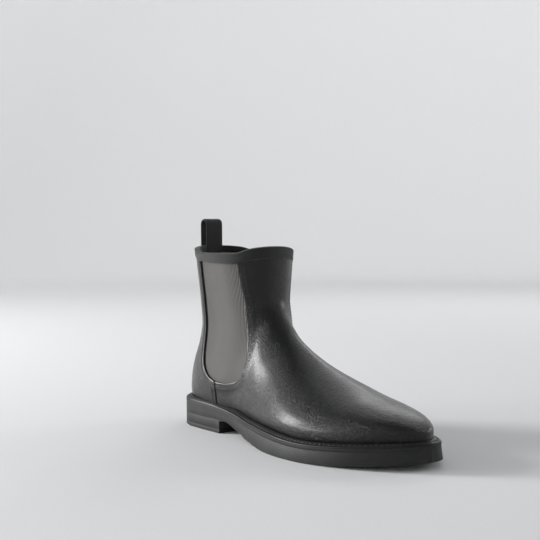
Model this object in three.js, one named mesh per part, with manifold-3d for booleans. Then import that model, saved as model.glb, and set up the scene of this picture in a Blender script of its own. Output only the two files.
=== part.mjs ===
// Chelsea boot, right foot, EU 43. Millimetres, +X towards the toe, +Y towards the inner ankle, +Z up.
// The origin is on the floor under the middle of the heel.
import * as THREE from 'three';
import { mergeVertices } from 'three/addons/utils/BufferGeometryUtils.js';
import Module from 'manifold-3d';

const wasm = await Module();
wasm.setup();

// Overall sizes.
const SOLE_LENGTH = 303.5;
const BALL_WIDTH = 109;
const HEEL_WIDTH = 75;
const COLLAR_HEIGHT = 166;      // floor to the top of the back
const COLLAR_DIP = 7;           // how far the collar drops over the elastic
const COLLAR_WIDTH = 78;
const INSTEP_RISE = 92;         // feather edge to the ridge where foot and shaft meet

// Sole unit.
const HEEL_HEIGHT = 24.3;       // floor to the top edge of the sole at the back
const FOREFOOT_SOLE = 13.1;     // thickness at the ball
const TOE_SPRING = 5.8;
const HEEL_BREAST = 82;         // back of the heel to its front face
const TOP_LIFT = 3.7;
const HEEL_SEAT = 11;           // floor to the underside of the outsole over the heel
const TOE_FLARE = 2;            // the sole wall leans out this far towards the floor at the toe
const HEEL_CENTRE = 38;

// Walls, from the outside in, and the clearance between touching pieces.
const GAP = 0.3;
const LEATHER = 1.7;
const STIFFENER = 1.2;          // elastic, toe puff, heel counter and interlining
const LINING = 0.9;
const LASTING_MARGIN = 11;      // how far the upper turns in under the insole
const INSOLE = 2.2;
const SOCK = 1.2;
const WELT_REACH = 5.8;         // sole edge to the widest line of the upper
const WELT_EDGE = 0.9;          // height of the welt at its outer edge
const WELT_THREAD = 0.8;
const SEAM_THREAD = 0.7;
const SEAM_LIFT = 0.8;           // clear of the leather, whose facets bulge a little between rows
const STIFFENER_DEPTH = LEATHER + GAP;
const LINING_DEPTH = STIFFENER_DEPTH + STIFFENER + GAP;
const WALL = LINING_DEPTH + LINING;

// Elastic gusset, in side view from the back of the heel.
const GUSSET_REAR = 46.5;
const GUSSET_FRONT = 110.5;
const GUSSET_BOTTOM = 44.5;
const GUSSET_SHOULDER = 74;     // height where its sides start to round in
const GUSSET_TOP_REAR = 50;
const GUSSET_TOP_FRONT = 98;
const GUSSET_OVERLAP = 7;       // how far the elastic runs under the leather
const SIDE_SEAM = 71.3;
const STITCH_INSET = 2.2;
const STITCH_ROWS = 2;          // distance between the two rows of stitching

// Collar binding, back strip and pull tab.
const BINDING_DEPTH = 5;
const BINDING = 0.6;
const BACK_STRIP_WIDTH = 14;
const BACK_STRIP = 0.9;
const STRIP_LIFT = 0.7;         // the strip's own clearance, over the curve of the heel
const TAB_WIDTH = 18;
const TAB_WEB = 1.2;
const TAB_LOOP = 24;
const TAB_SEWN = 24;

// Pieces inside the bottom.
const SHANK_START = 62;
const SHANK_END = 158;
const SHANK_WIDTH = 14;
const SHANK = 1.2;
const CORK_START = 164;
const NAIL_RADIUS = 1;
const NAIL_HEAD = 2.2;
const NAIL_CIRCLE = 11;
const NAIL_COUNT = 5;
const TOE_PUFF_START = 252;
const COUNTER_FRONT = 92;
const COUNTER_TOP = 70;

const PHI_STEPS = 46;
const SOLE_STEPS = 64;
const UP = new THREE.Vector3(0, 0, 1);
const vec = (x, y, z) => new THREE.Vector3(x, y, z);
const mix = (a, b, t) => a + (b - a) * t;
const clamp01 = (t) => Math.min(1, Math.max(0, t));
const smooth = (t) => clamp01(t) ** 2 * (3 - 2 * clamp01(t));

// A smooth curve through a few points that never overshoots them.
function curve(points) {
  const x = points.map((p) => p[0]);
  const y = points.map((p) => p[1]);
  const last = x.length - 1;
  const step = x.slice(1).map((value, i) => value - x[i]);
  const rise = step.map((h, i) => (y[i + 1] - y[i]) / h);
  const slope = x.map((_, i) => {
    if (i === 0) return rise[0];
    if (i === last) return rise[last - 1];
    if (rise[i - 1] * rise[i] <= 0) return 0;
    const before = 2 * step[i] + step[i - 1];
    const after = step[i] + 2 * step[i - 1];
    return (before + after) / (before / rise[i - 1] + after / rise[i]);
  });
  return (at) => {
    if (at <= x[0]) return y[0];
    if (at >= x[last]) return y[last];
    let i = 0;
    while (at > x[i + 1]) i += 1;
    const t = (at - x[i]) / step[i];
    const a = (1 + 2 * t) * (1 - t) ** 2 * y[i] + t * (1 - t) ** 2 * step[i] * slope[i];
    return a + t * t * (3 - 2 * t) * y[i + 1] - t * t * (1 - t) * step[i] * slope[i + 1];
  };
}

// ---- Sole outline, seen from above: share of the length, share of the heel's or the ball's width.
const heel = (along, across) => vec(along * SOLE_LENGTH, across * HEEL_WIDTH, 0);
const ball = (along, across) => vec(along * SOLE_LENGTH, across * BALL_WIDTH, 0);
const soleOutline = new THREE.CatmullRomCurve3([
  heel(0, 0), heel(0.008, -0.173), heel(0.033, -0.34), heel(0.089, -0.464), heel(0.165, -0.497),
  heel(0.264, -0.501), heel(0.362, -0.524), ball(0.461, -0.422), ball(0.56, -0.494),
  ball(0.646, -0.525), ball(0.731, -0.514), ball(0.811, -0.459), ball(0.88, -0.372),
  ball(0.939, -0.252), ball(0.982, -0.11), ball(1, 0.028), ball(0.985, 0.16), ball(0.939, 0.28),
  ball(0.873, 0.381), ball(0.801, 0.445), ball(0.722, 0.472), ball(0.656, 0.461),
  ball(0.56, 0.408), ball(0.461, 0.349), heel(0.362, 0.464), heel(0.264, 0.477),
  heel(0.165, 0.5), heel(0.089, 0.467), heel(0.033, 0.344), heel(0.008, 0.176),
], true, 'centripetal');
const OUTLINE_POINTS = 360;
const outline = soleOutline.getPoints(OUTLINE_POINTS).slice(0, OUTLINE_POINTS);

// The outline moved in by a distance, as a list of points.
function insetOutline(distance) {
  return outline.map((p, i) => {
    const before = outline[(i + OUTLINE_POINTS - 1) % OUTLINE_POINTS];
    const after = outline[(i + 1) % OUTLINE_POINTS];
    const along = after.clone().sub(before).normalize();
    return vec(p.x - along.y * distance, p.y + along.x * distance, 0);
  });
}

// ---- Heights along the sole.
const along = (share) => share * SOLE_LENGTH;
const soleTop = curve([
  [0, HEEL_HEIGHT], [along(0.2), HEEL_HEIGHT - 1], [along(0.3), HEEL_HEIGHT - 3.5],
  [along(0.43), mix(FOREFOOT_SOLE, HEEL_HEIGHT, 0.35) - 1], [along(0.575), FOREFOOT_SOLE + 1.5],
  [along(0.71), FOREFOOT_SOLE], [along(0.825), FOREFOOT_SOLE + TOE_SPRING * 0.25],
  [SOLE_LENGTH, FOREFOOT_SOLE + TOE_SPRING],
]);
const soleBottom = curve([
  [0, HEEL_SEAT], [HEEL_BREAST + 7, HEEL_SEAT], [along(0.37), HEEL_SEAT * 0.55],
  [along(0.46), HEEL_SEAT * 0.2], [along(0.53), HEEL_SEAT * 0.05], [along(0.6), 0], [along(0.71), 0],
  [along(0.825), TOE_SPRING * 0.25], [along(0.92), TOE_SPRING * 0.62], [SOLE_LENGTH, TOE_SPRING],
]);
const featherZ = (x) => soleTop(x) + GAP;

// ---- Upper: a foot body and an ankle tube, blended into one surface.
const upperEdge = insetOutline(WELT_REACH);
const HEEL_END = Math.min(...upperEdge.map((p) => p.x));
const TOE_END = Math.max(...upperEdge.map((p) => p.x));
const heelIndex = upperEdge.findIndex((p) => p.x === HEEL_END);
const fromHeel = upperEdge.map((_, i) => upperEdge[(i + heelIndex) % OUTLINE_POINTS]);
const toeIndex = fromHeel.findIndex((p) => p.x === TOE_END);
const lateralSide = fromHeel.slice(0, toeIndex + 1);
const medialSide = [...fromHeel.slice(toeIndex), fromHeel[0]].reverse();
function sideAt(side, x) {
  let low = 0;
  let high = side.length - 1;
  while (high - low > 1) {
    const middle = (low + high) >> 1;
    if (side[middle].x > x) high = middle;
    else low = middle;
  }
  const span = side[high].x - side[low].x || 1;
  return mix(side[low].y, side[high].y, clamp01((x - side[low].x) / span));
}

const WIDEST = 9;               // height of the widest line above the feather edge
const TUCK = 24;                // the smaller this is, the more the upper turns in at the welt
const centreLine = curve([
  [HEEL_END, 0], [along(0.2), 0], [along(0.36), -0.5], [along(0.49), 1], [along(0.66), 4],
  [along(0.82), 5], [TOE_END - 1, 4],
]);
const rise = (share) => HEEL_HEIGHT + share * INSTEP_RISE;
const ridge = curve([
  [0, rise(0.19)], [along(0.06), rise(0.37)], [along(0.15), rise(0.69)], [along(0.26), rise(0.965)],
  [along(0.343), rise(1)], [along(0.4), rise(0.9)], [along(0.455), rise(0.717)],
  [along(0.515), rise(0.582)], [along(0.586), rise(0.462)], [along(0.672), rise(0.355)],
  [along(0.758), rise(0.264)], [along(0.837), rise(0.21)], [along(0.896), rise(0.168)],
  [along(0.942), rise(0.118)], [along(0.965), rise(0.08)], [along(0.98), rise(0.04)],
]);
// The powers of the section over the foot: it is peaked at the waist and full at the toe.
const crownPower = curve([
  [along(0.5), 1.55], [along(0.62), 1.66], [along(0.8), 2.05], [along(0.92), 2.3],
]);
const sidePower = curve([
  [along(0.5), 1.95], [along(0.62), 2], [along(0.8), 2.2], [along(0.92), 2.3],
]);
const tall = (share) => share * COLLAR_HEIGHT;
const ankleBack = curve([
  [0, 8], [tall(0.12), 6], [tall(0.19), 3.4], [tall(0.27), 2], [tall(0.36), 4.8], [tall(0.47), 12.6],
  [tall(0.58), 17], [tall(0.7), 17], [tall(0.84), 16], [tall(1), 14.5],
]);
const ankleFront = curve([
  [0, 110], [tall(0.36), 122], [tall(0.48), 124], [tall(0.6), 122], [tall(0.72), 117.5],
  [tall(0.84), 117.5], [tall(1), 118.5],
]);
const ankleHalfWidth = curve([
  [0, 31], [tall(0.15), 33], [tall(0.27), 35.5], [tall(0.42), 32.5], [tall(0.57), 31],
  [tall(0.69), 32.5], [tall(0.84), mix(32.5, COLLAR_WIDTH / 2, 0.5)], [tall(1), COLLAR_WIDTH / 2],
]);

// Below zero inside the upper, above zero outside it.
function upperField(x, y, z) {
  const station = Math.min(TOE_END - 0.02, Math.max(HEEL_END + 0.05, x));
  const widestZ = featherZ(station) + WIDEST;
  const height = Math.max(ridge(station) - widestZ, 0.8);
  const middle = centreLine(station);
  const edge = sideAt(y < middle ? lateralSide : medialSide, station);
  const width = Math.max(Math.abs(edge - middle), 0.4);
  const above = Math.max(z - widestZ, 0) / height;
  const below = Math.max(widestZ - z, 0) / TUCK;
  const across = Math.abs(y - middle) / width;
  let foot = Math.sqrt(across ** sidePower(station) + above ** crownPower(station) + below ** 2) - 1;
  if (x > TOE_END - 0.02) foot = 1 + (x - TOE_END) / 5;
  if (x < HEEL_END + 0.05) foot = 1 + (HEEL_END - x) / 5;
  const back = ankleBack(z);
  const front = ankleFront(z);
  const deepest = mix(back, front, 0.57);
  const reach = x < deepest ? deepest - back : front - deepest;
  const round = (Math.abs(x - deepest) / reach) ** 2.15 + (Math.abs(y) / ankleHalfWidth(z)) ** 2.15;
  const ankle = round ** (1 / 2.15) - 1;
  const least = Math.min(foot, ankle);
  const blend = 16;
  return least - Math.log(Math.exp(-blend * (foot - least)) + Math.exp(-blend * (ankle - least))) / blend;
}

function upperNormal(p) {
  const e = 0.4;
  return vec(
    upperField(p.x + e, p.y, p.z) - upperField(p.x - e, p.y, p.z),
    upperField(p.x, p.y + e, p.z) - upperField(p.x, p.y - e, p.z),
    upperField(p.x, p.y, p.z + e) - upperField(p.x, p.y, p.z - e),
  ).normalize();
}

// The upper is covered by sheets v = 0 (feather edge) to 1 (collar); each is cut by rays at angle phi.
const frontX = curve([
  [0, TOE_END], [0.05, TOE_END], [0.1, TOE_END - 3], [0.15, TOE_END - 8], [0.2, TOE_END - 17],
  [0.3, along(0.85)], [0.4, along(0.77)], [0.5, along(0.68)], [0.6, along(0.593)], [0.7, along(0.51)],
  [0.8, along(0.455)], [0.9, along(0.41)], [1, 118.5],
]);
const frontZ = curve([
  [0, featherZ(TOE_END)], [0.05, featherZ(TOE_END) + 9], [0.1, rise(0.138)], [0.15, rise(0.19)],
  [0.2, rise(0.235)], [0.3, rise(0.3)], [0.4, rise(0.355)], [0.5, rise(0.42)], [0.6, rise(0.52)],
  [0.7, rise(0.69)], [0.8, rise(0.93)], [0.9, mix(rise(0.93), COLLAR_HEIGHT, 0.5)], [1, COLLAR_HEIGHT - 1],
]);
const rayCentre = curve([[0, 135], [0.3, 120], [0.5, 98], [0.7, 78], [0.85, 70], [1, 68]]);
const raySpread = curve([[0, 50], [0.4, 44], [0.7, 38], [1, 38]]);
const collarZ = curve([
  [10, COLLAR_HEIGHT], [28, COLLAR_HEIGHT - 0.3 * COLLAR_DIP], [48, COLLAR_HEIGHT - COLLAR_DIP],
  [98, COLLAR_HEIGHT - COLLAR_DIP], [112, COLLAR_HEIGHT - 0.4 * COLLAR_DIP], [119, COLLAR_HEIGHT - 1],
]);

function upperPoint(phi, v) {
  const ax = frontX(v);
  const az = frontZ(v);
  const bx = HEEL_END;
  const bz = mix(featherZ(0), COLLAR_HEIGHT, v);
  const spread = Math.hypot(ax - bx, az - bz) / 2;
  const heading = new THREE.Vector2(spread * Math.cos(phi), raySpread(v) * Math.sin(phi)).normalize();
  const low = 1 - smooth(v / 0.35);
  const high = smooth((v - 0.72) / 0.28);
  const place = (r) => {
    const x = rayCentre(v) + heading.x * r;
    const share = (x - bx) / (ax - bx);
    const flat = mix(bz, az, share);
    const foot = mix(featherZ(0), featherZ(TOE_END), (x - bx) / (TOE_END - bx));
    const top = mix(COLLAR_HEIGHT, COLLAR_HEIGHT - 1, share);
    return vec(x, heading.y * r, flat + (featherZ(x) - foot) * low + (collarZ(x) - top) * high);
  };
  const outside = (r) => {
    const p = place(r);
    return upperField(p.x, p.y, p.z) > 0;
  };
  let near = 4;
  while (!outside(near + 5) && near < 240) near += 5;
  let far = near + 5;
  for (let i = 0; i < 18; i += 1) {
    const middle = (near + far) / 2;
    if (outside(middle)) far = middle;
    else near = middle;
  }
  return place((near + far) / 2);
}

// Where a line across the boot at (x, z) meets one side, and where a line along it meets the back.
function findSurface(place, start, end) {
  let outer = start;
  let inner = end;
  for (let i = 0; i < 24; i += 1) {
    const middle = (outer + inner) / 2;
    const p = place(middle);
    if (upperField(p.x, p.y, p.z) > 0) outer = middle;
    else inner = middle;
  }
  return place((outer + inner) / 2);
}
const sidePoint = (x, z, side) => findSurface((y) => vec(x, y * side, z), 70, 5);
const backPoint = (y, z) => findSurface((x) => vec(x, y, z), -6, 40);

// ---- Meshes from loops of points.
function meshOf(points, faces) {
  const geometry = new THREE.BufferGeometry();
  geometry.setAttribute('position', new THREE.Float32BufferAttribute(points.flatMap((p) => p.toArray()), 3));
  let volume = 0;
  for (const [a, b, c] of faces) volume += points[a].dot(points[b].clone().cross(points[c]));
  const outward = volume > 0 ? faces : faces.map(([a, b, c]) => [a, c, b]);
  geometry.setIndex(outward.flat());
  return geometry;
}

// Quads between each loop and the next one; closed joins the last loop back to the first. Both sides
// of the boot split their quads alike, and so do the loops from turned on, which come back down.
function bands(loops, closed, turned = Infinity) {
  const size = loops[0].length;
  const count = closed ? loops.length : loops.length - 1;
  const faces = [];
  for (let i = 0; i < count; i += 1) {
    const row = i * size;
    const next = ((i + 1) % loops.length) * size;
    for (let j = 0; j < size; j += 1) {
      const k = (j + 1) % size;
      const mirrored = (j < size / 2) !== (i >= turned);
      if (mirrored) faces.push([row + j, row + k, next + j], [row + k, next + k, next + j]);
      else faces.push([row + j, row + k, next + k], [row + j, next + k, next + j]);
    }
  }
  return faces;
}

const ring = (loops, turned) => meshOf(loops.flat(), bands(loops, true, turned));

// A plate between two loops that start at the toe: its faces are laid in strips across the boot.
function slab(lower, upper) {
  const size = lower.length;
  const faces = bands([lower, upper], false);
  for (let i = 0; i < size / 2; i += 1) {
    const a = i;
    const b = i + 1;
    const c = size - i - 1;
    const d = (size - i) % size;
    for (const [p, q, r] of [[a, b, c], [a, c, d]]) {
      if (p === q || q === r || p === r) continue;
      faces.push([p, r, q], [p + size, q + size, r + size]);
    }
  }
  return meshOf([...lower, ...upper], faces);
}

// A bar through a row of equal sections, closed at both ends.
function bar(sections) {
  const size = sections[0].length;
  const end = (sections.length - 1) * size;
  const faces = bands(sections, false);
  for (let i = 1; i < size - 1; i += 1) {
    faces.push([0, i + 1, i], [end, end + i, end + i + 1]);
  }
  return meshOf(sections.flat(), faces);
}

// ---- Booleans.
function solidOf(geometry) {
  const bare = new THREE.BufferGeometry();
  bare.setAttribute('position', geometry.attributes.position);
  if (geometry.index) bare.setIndex(geometry.index);
  const merged = mergeVertices(bare, 1e-4);
  return new wasm.Manifold(new wasm.Mesh({
    numProp: 3,
    vertProperties: Float32Array.from(merged.attributes.position.array),
    triVerts: Uint32Array.from(merged.index.array),
  }));
}

function geometryOf(solid) {
  const mesh = solid.getMesh();
  const geometry = new THREE.BufferGeometry();
  geometry.setAttribute('position', new THREE.BufferAttribute(new Float32Array(mesh.vertProperties), 3));
  geometry.setIndex(new THREE.BufferAttribute(new Uint32Array(mesh.triVerts), 1));
  return geometry;
}

// Only the largest body of a cut is kept, so no crumb is left beside it.
function largest(solid) {
  return solid.decompose().sort((a, b) => b.volume() - a.volume())[0];
}

const BIG = 400;
function blockX(from, to) {
  const box = new THREE.BoxGeometry(to - from, BIG, BIG);
  box.translate((from + to) / 2, 0, BIG / 2 - 50);
  return solidOf(box);
}

// A side-view shape drawn in x and z, pushed through from y = low to y = high.
function sidePrism(shape, low, high) {
  const geometry = new THREE.ExtrudeGeometry(shape, { depth: high - low, bevelEnabled: false });
  geometry.rotateX(Math.PI / 2);
  geometry.translate(0, high, 0);
  return solidOf(geometry);
}

// ---- The gusset window, drawn from its rear top corner down and round to its front top corner.
function gussetSide(grow) {
  const lowest = mix(GUSSET_REAR, GUSSET_FRONT, 0.56);
  const top = COLLAR_HEIGHT + 20;
  const path = new THREE.Path();
  path.moveTo(GUSSET_TOP_REAR - grow, top);
  path.lineTo(GUSSET_REAR - grow, GUSSET_SHOULDER);
  path.bezierCurveTo(GUSSET_REAR - grow, GUSSET_BOTTOM + 13 - grow, GUSSET_REAR + 12, GUSSET_BOTTOM - grow,
    lowest, GUSSET_BOTTOM - grow);
  path.bezierCurveTo(lowest + 20, GUSSET_BOTTOM - grow, GUSSET_FRONT + 3 + grow, GUSSET_BOTTOM + 8 - grow,
    GUSSET_FRONT + grow, GUSSET_SHOULDER);
  path.bezierCurveTo(GUSSET_FRONT - 2 + grow, GUSSET_SHOULDER + 18, GUSSET_TOP_FRONT + 4 + grow,
    GUSSET_SHOULDER + 46, GUSSET_TOP_FRONT + grow, top);
  return path;
}

function gussetPrism(grow, side) {
  const shape = new THREE.Shape(gussetSide(grow).getPoints(9));
  return side < 0 ? sidePrism(shape, -BIG / 2, -4) : sidePrism(shape, 4, BIG / 2);
}

// ---- Layers of the upper.
const WELT_ROW = 0.016;         // where the top of the welt meets the leather
const WALL_ROWS = [0.045, 0.075, 0.11, 0.16, 0.23, 0.31, 0.4, 0.49, 0.58, 0.67, 0.74, 0.795,
  0.85, 0.925, 1];
const phis = Array.from({ length: PHI_STEPS }, (_, i) => (2 * Math.PI * i) / PHI_STEPS);
const surfaceRow = (v) => phis.map((phi) => {
  const point = upperPoint(phi, v);
  return { point, normal: upperNormal(point) };
});
const featherRow = surfaceRow(0).map(({ point, normal }) => ({
  point,
  inward: vec(-normal.x, -normal.y, 0).normalize(),
}));
const wallRows = WALL_ROWS.map(surfaceRow);
const rowAt = (row, depth) => row.map(({ point, normal }) => point.clone().addScaledVector(normal, -depth));
const featherAt = (inward, up) => featherRow.map((edge) => {
  const p = edge.point.clone().addScaledVector(edge.inward, inward);
  return vec(p.x, p.y, featherZ(p.x) + up);
});

// One layer of the upper, with its lasting margin turned in.
function layer(depth, thickness) {
  const wall = (d) => wallRows.map((row) => rowAt(row, d));
  const skin = (d) => [featherAt(LASTING_MARGIN, d), featherAt(d, d), ...wall(d)];
  const outside = skin(depth);
  return solidOf(ring([...outside, ...skin(depth + thickness).reverse()], outside.length));
}

const HALF_GAP = GAP / 2;
const front = (solid) => solid.intersect(blockX(SIDE_SEAM + HALF_GAP, BIG));
const rear = (solid) => solid.intersect(blockX(-BIG / 4, SIDE_SEAM - HALF_GAP));
const withoutGussets = (solid, grow) => solid.subtract(gussetPrism(grow, -1)).subtract(gussetPrism(grow, 1));

const leather = withoutGussets(layer(0, LEATHER), 0);
const stiffener = layer(STIFFENER_DEPTH, STIFFENER);
const openStiffener = withoutGussets(stiffener, GUSSET_OVERLAP + GAP);
const lining = withoutGussets(layer(LINING_DEPTH, LINING), 0);

function gusset(side) {
  return geometryOf(largest(stiffener.intersect(gussetPrism(GUSSET_OVERLAP, side))));
}

function heelCounter() {
  const shape = new THREE.Shape([
    new THREE.Vector2(-20, 0), new THREE.Vector2(COUNTER_FRONT, 0),
    new THREE.Vector2(COUNTER_FRONT, GUSSET_BOTTOM), new THREE.Vector2(25, COUNTER_TOP),
    new THREE.Vector2(-20, COUNTER_TOP),
  ]);
  return geometryOf(largest(openStiffener.intersect(sidePrism(shape, -BIG / 2, BIG / 2))));
}

function stiffenerBetween(from, to) {
  return geometryOf(largest(openStiffener.intersect(blockX(from, to))));
}

// ---- Stitching laid on the leather: there and back, in two rows.
function threadAlong(points, side) {
  const radius = SEAM_THREAD / 2;
  const places = points.map(([x, z]) => sidePoint(x, z, side));
  return bar(places.map((place, i) => {
    const normal = upperNormal(place);
    const before = places[Math.max(i - 1, 0)];
    const after = places[Math.min(i + 1, places.length - 1)];
    const across = after.clone().sub(before).cross(normal).normalize();
    const middle = place.clone().addScaledVector(normal, SEAM_LIFT + radius);
    return [[-1, -1], [1, -1], [1, 1], [-1, 1]].map(([a, b]) => (
      middle.clone().addScaledVector(across, a * radius).addScaledVector(normal, b * radius)
    ));
  }));
}

function gussetStitching(side) {
  const top = COLLAR_HEIGHT - COLLAR_DIP - BINDING_DEPTH - 4;
  const row = (grow) => {
    const points = gussetSide(grow).getPoints(12).map((p) => [p.x, p.y]);
    points[0][1] = top;
    points[points.length - 1][1] = top;
    return points.filter(([, z]) => z <= top);
  };
  return threadAlong([...row(STITCH_INSET), ...row(STITCH_INSET + STITCH_ROWS).reverse()], side);
}

function seamStitching(side) {
  const column = (x) => [0, 0.25, 0.5, 0.75, 1].map((t) => (
    [x, mix(GUSSET_BOTTOM - STITCH_INSET - STITCH_ROWS - 2.5, featherZ(x) + 5, t)]
  ));
  const near = column(SIDE_SEAM - STITCH_INSET);
  const far = column(SIDE_SEAM - STITCH_INSET - STITCH_ROWS);
  return threadAlong([...near, ...far.reverse()], side);
}

// ---- Collar binding: a channel folded over the top edge of all the layers.
function collarBinding() {
  const topRow = wallRows[wallRows.length - 1];
  const lowRow = surfaceRow(1 - BINDING_DEPTH / (COLLAR_HEIGHT - HEEL_HEIGHT));
  const at = (row, depth, up) => rowAt(row, depth).map((p) => p.addScaledVector(UP, up));
  const outer = -GAP - BINDING;
  const inner = WALL + GAP + BINDING;
  return ring([
    at(lowRow, outer, 0), at(lowRow, -GAP, 0), at(topRow, -GAP, GAP), at(topRow, WALL + GAP, GAP),
    at(lowRow, WALL + GAP, 0), at(lowRow, inner, 0), at(topRow, inner, GAP + BINDING),
    at(topRow, outer, GAP + BINDING),
  ]);
}

// ---- Pieces at the back: strip over the back seam and the webbing of the pull tab.
function backBand(width, depth, thickness, from, to, steps) {
  const sections = [];
  for (let i = 0; i <= steps; i += 1) {
    const z = mix(from, to, i / steps);
    const edge = [-0.5, 0, 0.5].map((share) => {
      const point = backPoint(share * width, z);
      return { point, normal: upperNormal(point) };
    });
    sections.push([...rowAt(edge, depth), ...rowAt(edge, depth + thickness).reverse()]);
  }
  return bar(sections);
}

const TAB_OUTER = -(STRIP_LIFT + BACK_STRIP + 3 * GAP + TAB_WEB);   // depth of the outer web's outside
const TAB_INNER = WALL + GAP + BINDING + GAP;            // depth of the inner web's outside
const tabBase = COLLAR_HEIGHT + GAP + BINDING + GAP;
const backTop = backPoint(0, COLLAR_HEIGHT);
const tabOuterX = backTop.x + TAB_OUTER;
const tabInnerX = backTop.x + TAB_INNER + TAB_WEB;

function pullTabLoop() {
  const radius = (tabInnerX - tabOuterX) / 2;
  const middleX = (tabInnerX + tabOuterX) / 2;
  const bendZ = tabBase + GAP + TAB_LOOP - radius;
  const arc = Array.from({ length: 9 }, (_, i) => Math.PI * (1 - i / 8));
  const section = (inner, outer) => [-0.5, 0.5].flatMap((share) => (
    share < 0 ? [vec(outer.x, share * TAB_WIDTH, outer.z), vec(inner.x, share * TAB_WIDTH, inner.z)]
      : [vec(inner.x, share * TAB_WIDTH, inner.z), vec(outer.x, share * TAB_WIDTH, outer.z)]
  ));
  const bend = arc.map((angle) => {
    const at = (r) => ({ x: middleX + r * Math.cos(angle), z: bendZ + r * Math.sin(angle) });
    return section(at(radius - TAB_WEB), at(radius));
  });
  const foot = (x, sign) => section({ x: x + sign * TAB_WEB, z: tabBase + GAP }, { x, z: tabBase + GAP });
  return bar([foot(tabOuterX, 1), ...bend, foot(tabInnerX, -1)]);
}

const tabAnchor = (depth) => backBand(TAB_WIDTH, depth, TAB_WEB, tabBase - TAB_SEWN, tabBase, 5);

// ---- Sole pieces.
const solePhis = Array.from({ length: SOLE_STEPS }, (_, i) => (2 * Math.PI * i) / SOLE_STEPS);
const footSpread = (TOE_END - HEEL_END) / 2;

// Where a ray from the middle of the sole crosses the inset outline.
function rimPoint(phi, inset) {
  const heading = vec(footSpread * Math.cos(phi), raySpread(0) * Math.sin(phi), 0).normalize();
  const edge = insetOutline(inset);
  const offset = edge.map((p) => (p.x - rayCentre(0)) * heading.y - p.y * heading.x);
  for (let i = 0; i < edge.length; i += 1) {
    const k = (i + 1) % edge.length;
    if (offset[i] * offset[k] > 0 || offset[i] === offset[k]) continue;
    const hit = edge[i].clone().lerp(edge[k], offset[i] / (offset[i] - offset[k]));
    if ((hit.x - rayCentre(0)) * heading.x + hit.y * heading.y > 0) return hit;
  }
  throw new Error('the sole outline is open');
}

const rimLoop = (list, insetOf, heightOf) => list.map((phi) => {
  const p = rimPoint(phi, typeof insetOf === 'function' ? insetOf(rimPoint(phi, 0).x) : insetOf);
  return vec(p.x, p.y, heightOf(p.x));
});
const toeFlare = (x) => -TOE_FLARE * smooth((x - HEEL_BREAST) / (SOLE_LENGTH * 0.6));

const nailPlaces = Array.from({ length: NAIL_COUNT }, (_, i) => {
  const angle = Math.PI / 2 + (2 * Math.PI * (i + 0.5)) / NAIL_COUNT;
  return [HEEL_CENTRE + NAIL_CIRCLE * Math.cos(angle), NAIL_CIRCLE * Math.sin(angle)];
});

function withNailHoles(solid) {
  return nailPlaces.reduce((rest, [x, y]) => {
    const hole = new THREE.CylinderGeometry(NAIL_RADIUS + GAP, NAIL_RADIUS + GAP, BIG, 10);
    hole.rotateX(Math.PI / 2);
    hole.translate(x, y, BIG / 2 + TOP_LIFT + GAP / 2);
    return rest.subtract(solidOf(hole));
  }, solid);
}

function outsole() {
  const lower = rimLoop(solePhis, toeFlare, soleBottom);
  const upper = rimLoop(solePhis, 0, soleTop);
  return geometryOf(withNailHoles(solidOf(slab(lower, upper))));
}

function heelPlate(inset, from, to) {
  const plate = slab(rimLoop(solePhis, inset, () => from), rimLoop(solePhis, inset, () => to));
  return solidOf(plate).intersect(blockX(-BIG / 4, HEEL_BREAST));
}

function nail([x, y]) {
  const low = TOP_LIFT + GAP + 0.4;
  const seat = soleTop(HEEL_CENTRE) + GAP;
  const profile = [[0, low], [NAIL_RADIUS, low + 2], [NAIL_RADIUS, seat], [NAIL_HEAD, seat],
    [NAIL_HEAD, seat + 0.8], [0, seat + 1.1]];
  const geometry = new THREE.LatheGeometry(profile.map(([r, h]) => new THREE.Vector2(r, h)), 8);
  geometry.rotateX(Math.PI / 2);
  geometry.translate(x, y, 0);
  return geometry;
}

// The welt's top slopes up from the sole edge to the crevice where it meets the leather.
const weltInner = surfaceRow(WELT_ROW).map(({ point, normal }, i) => (
  point.clone().addScaledVector(featherRow[i].inward, -GAP - 0.1)
));
const weltOuter = rimLoop(phis, 0.6, (x) => featherZ(x) + WELT_EDGE);

function welt() {
  return ring([weltOuter, weltInner, featherAt(-GAP - 0.1, 0), rimLoop(phis, 0.4, featherZ)]);
}

function weltStitching() {
  const radius = WELT_THREAD / 2;
  const lift = GAP + 0.1 + radius;
  const line = weltInner.map((p, i) => p.clone().lerp(weltOuter[i], 0.6));
  const outward = weltInner.map((p, i) => weltOuter[i].clone().sub(p).normalize());
  const edge = (across, up) => line.map((p, i) => (
    p.clone().addScaledVector(outward[i], across * radius).addScaledVector(UP, lift + up * radius)
  ));
  return ring([edge(-1, -1), edge(1, -1), edge(1, 1), edge(-1, 1)]);
}

// ---- Pieces under the foot, stacked on the turned-in margins.
const floorLoop = (inward, lift) => featherAt(inward, lift);
const insoleBase = WALL + GAP;

function floorPlate(clearance, lift, thickness) {
  return slab(floorLoop(clearance, lift), floorLoop(clearance, lift + thickness));
}

function corkFiller() {
  const bed = floorPlate(LASTING_MARGIN + 2 * GAP, 0, insoleBase - GAP);
  return geometryOf(largest(solidOf(bed).intersect(blockX(CORK_START, BIG))));
}

function shank() {
  const sections = [];
  const steps = 10;
  for (let i = 0; i <= steps; i += 1) {
    const x = mix(SHANK_START, SHANK_END, i / steps);
    const z = featherZ(x) + GAP;
    sections.push([[-1, 0], [1, 0], [1, SHANK], [-1, SHANK]].map(([side, up]) => (
      vec(x, (side * SHANK_WIDTH) / 2, z + up)
    )));
  }
  return bar(sections);
}

// ---- The boot.
const boot = new THREE.Group();
boot.position.x = -HEEL_CENTRE;

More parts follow.
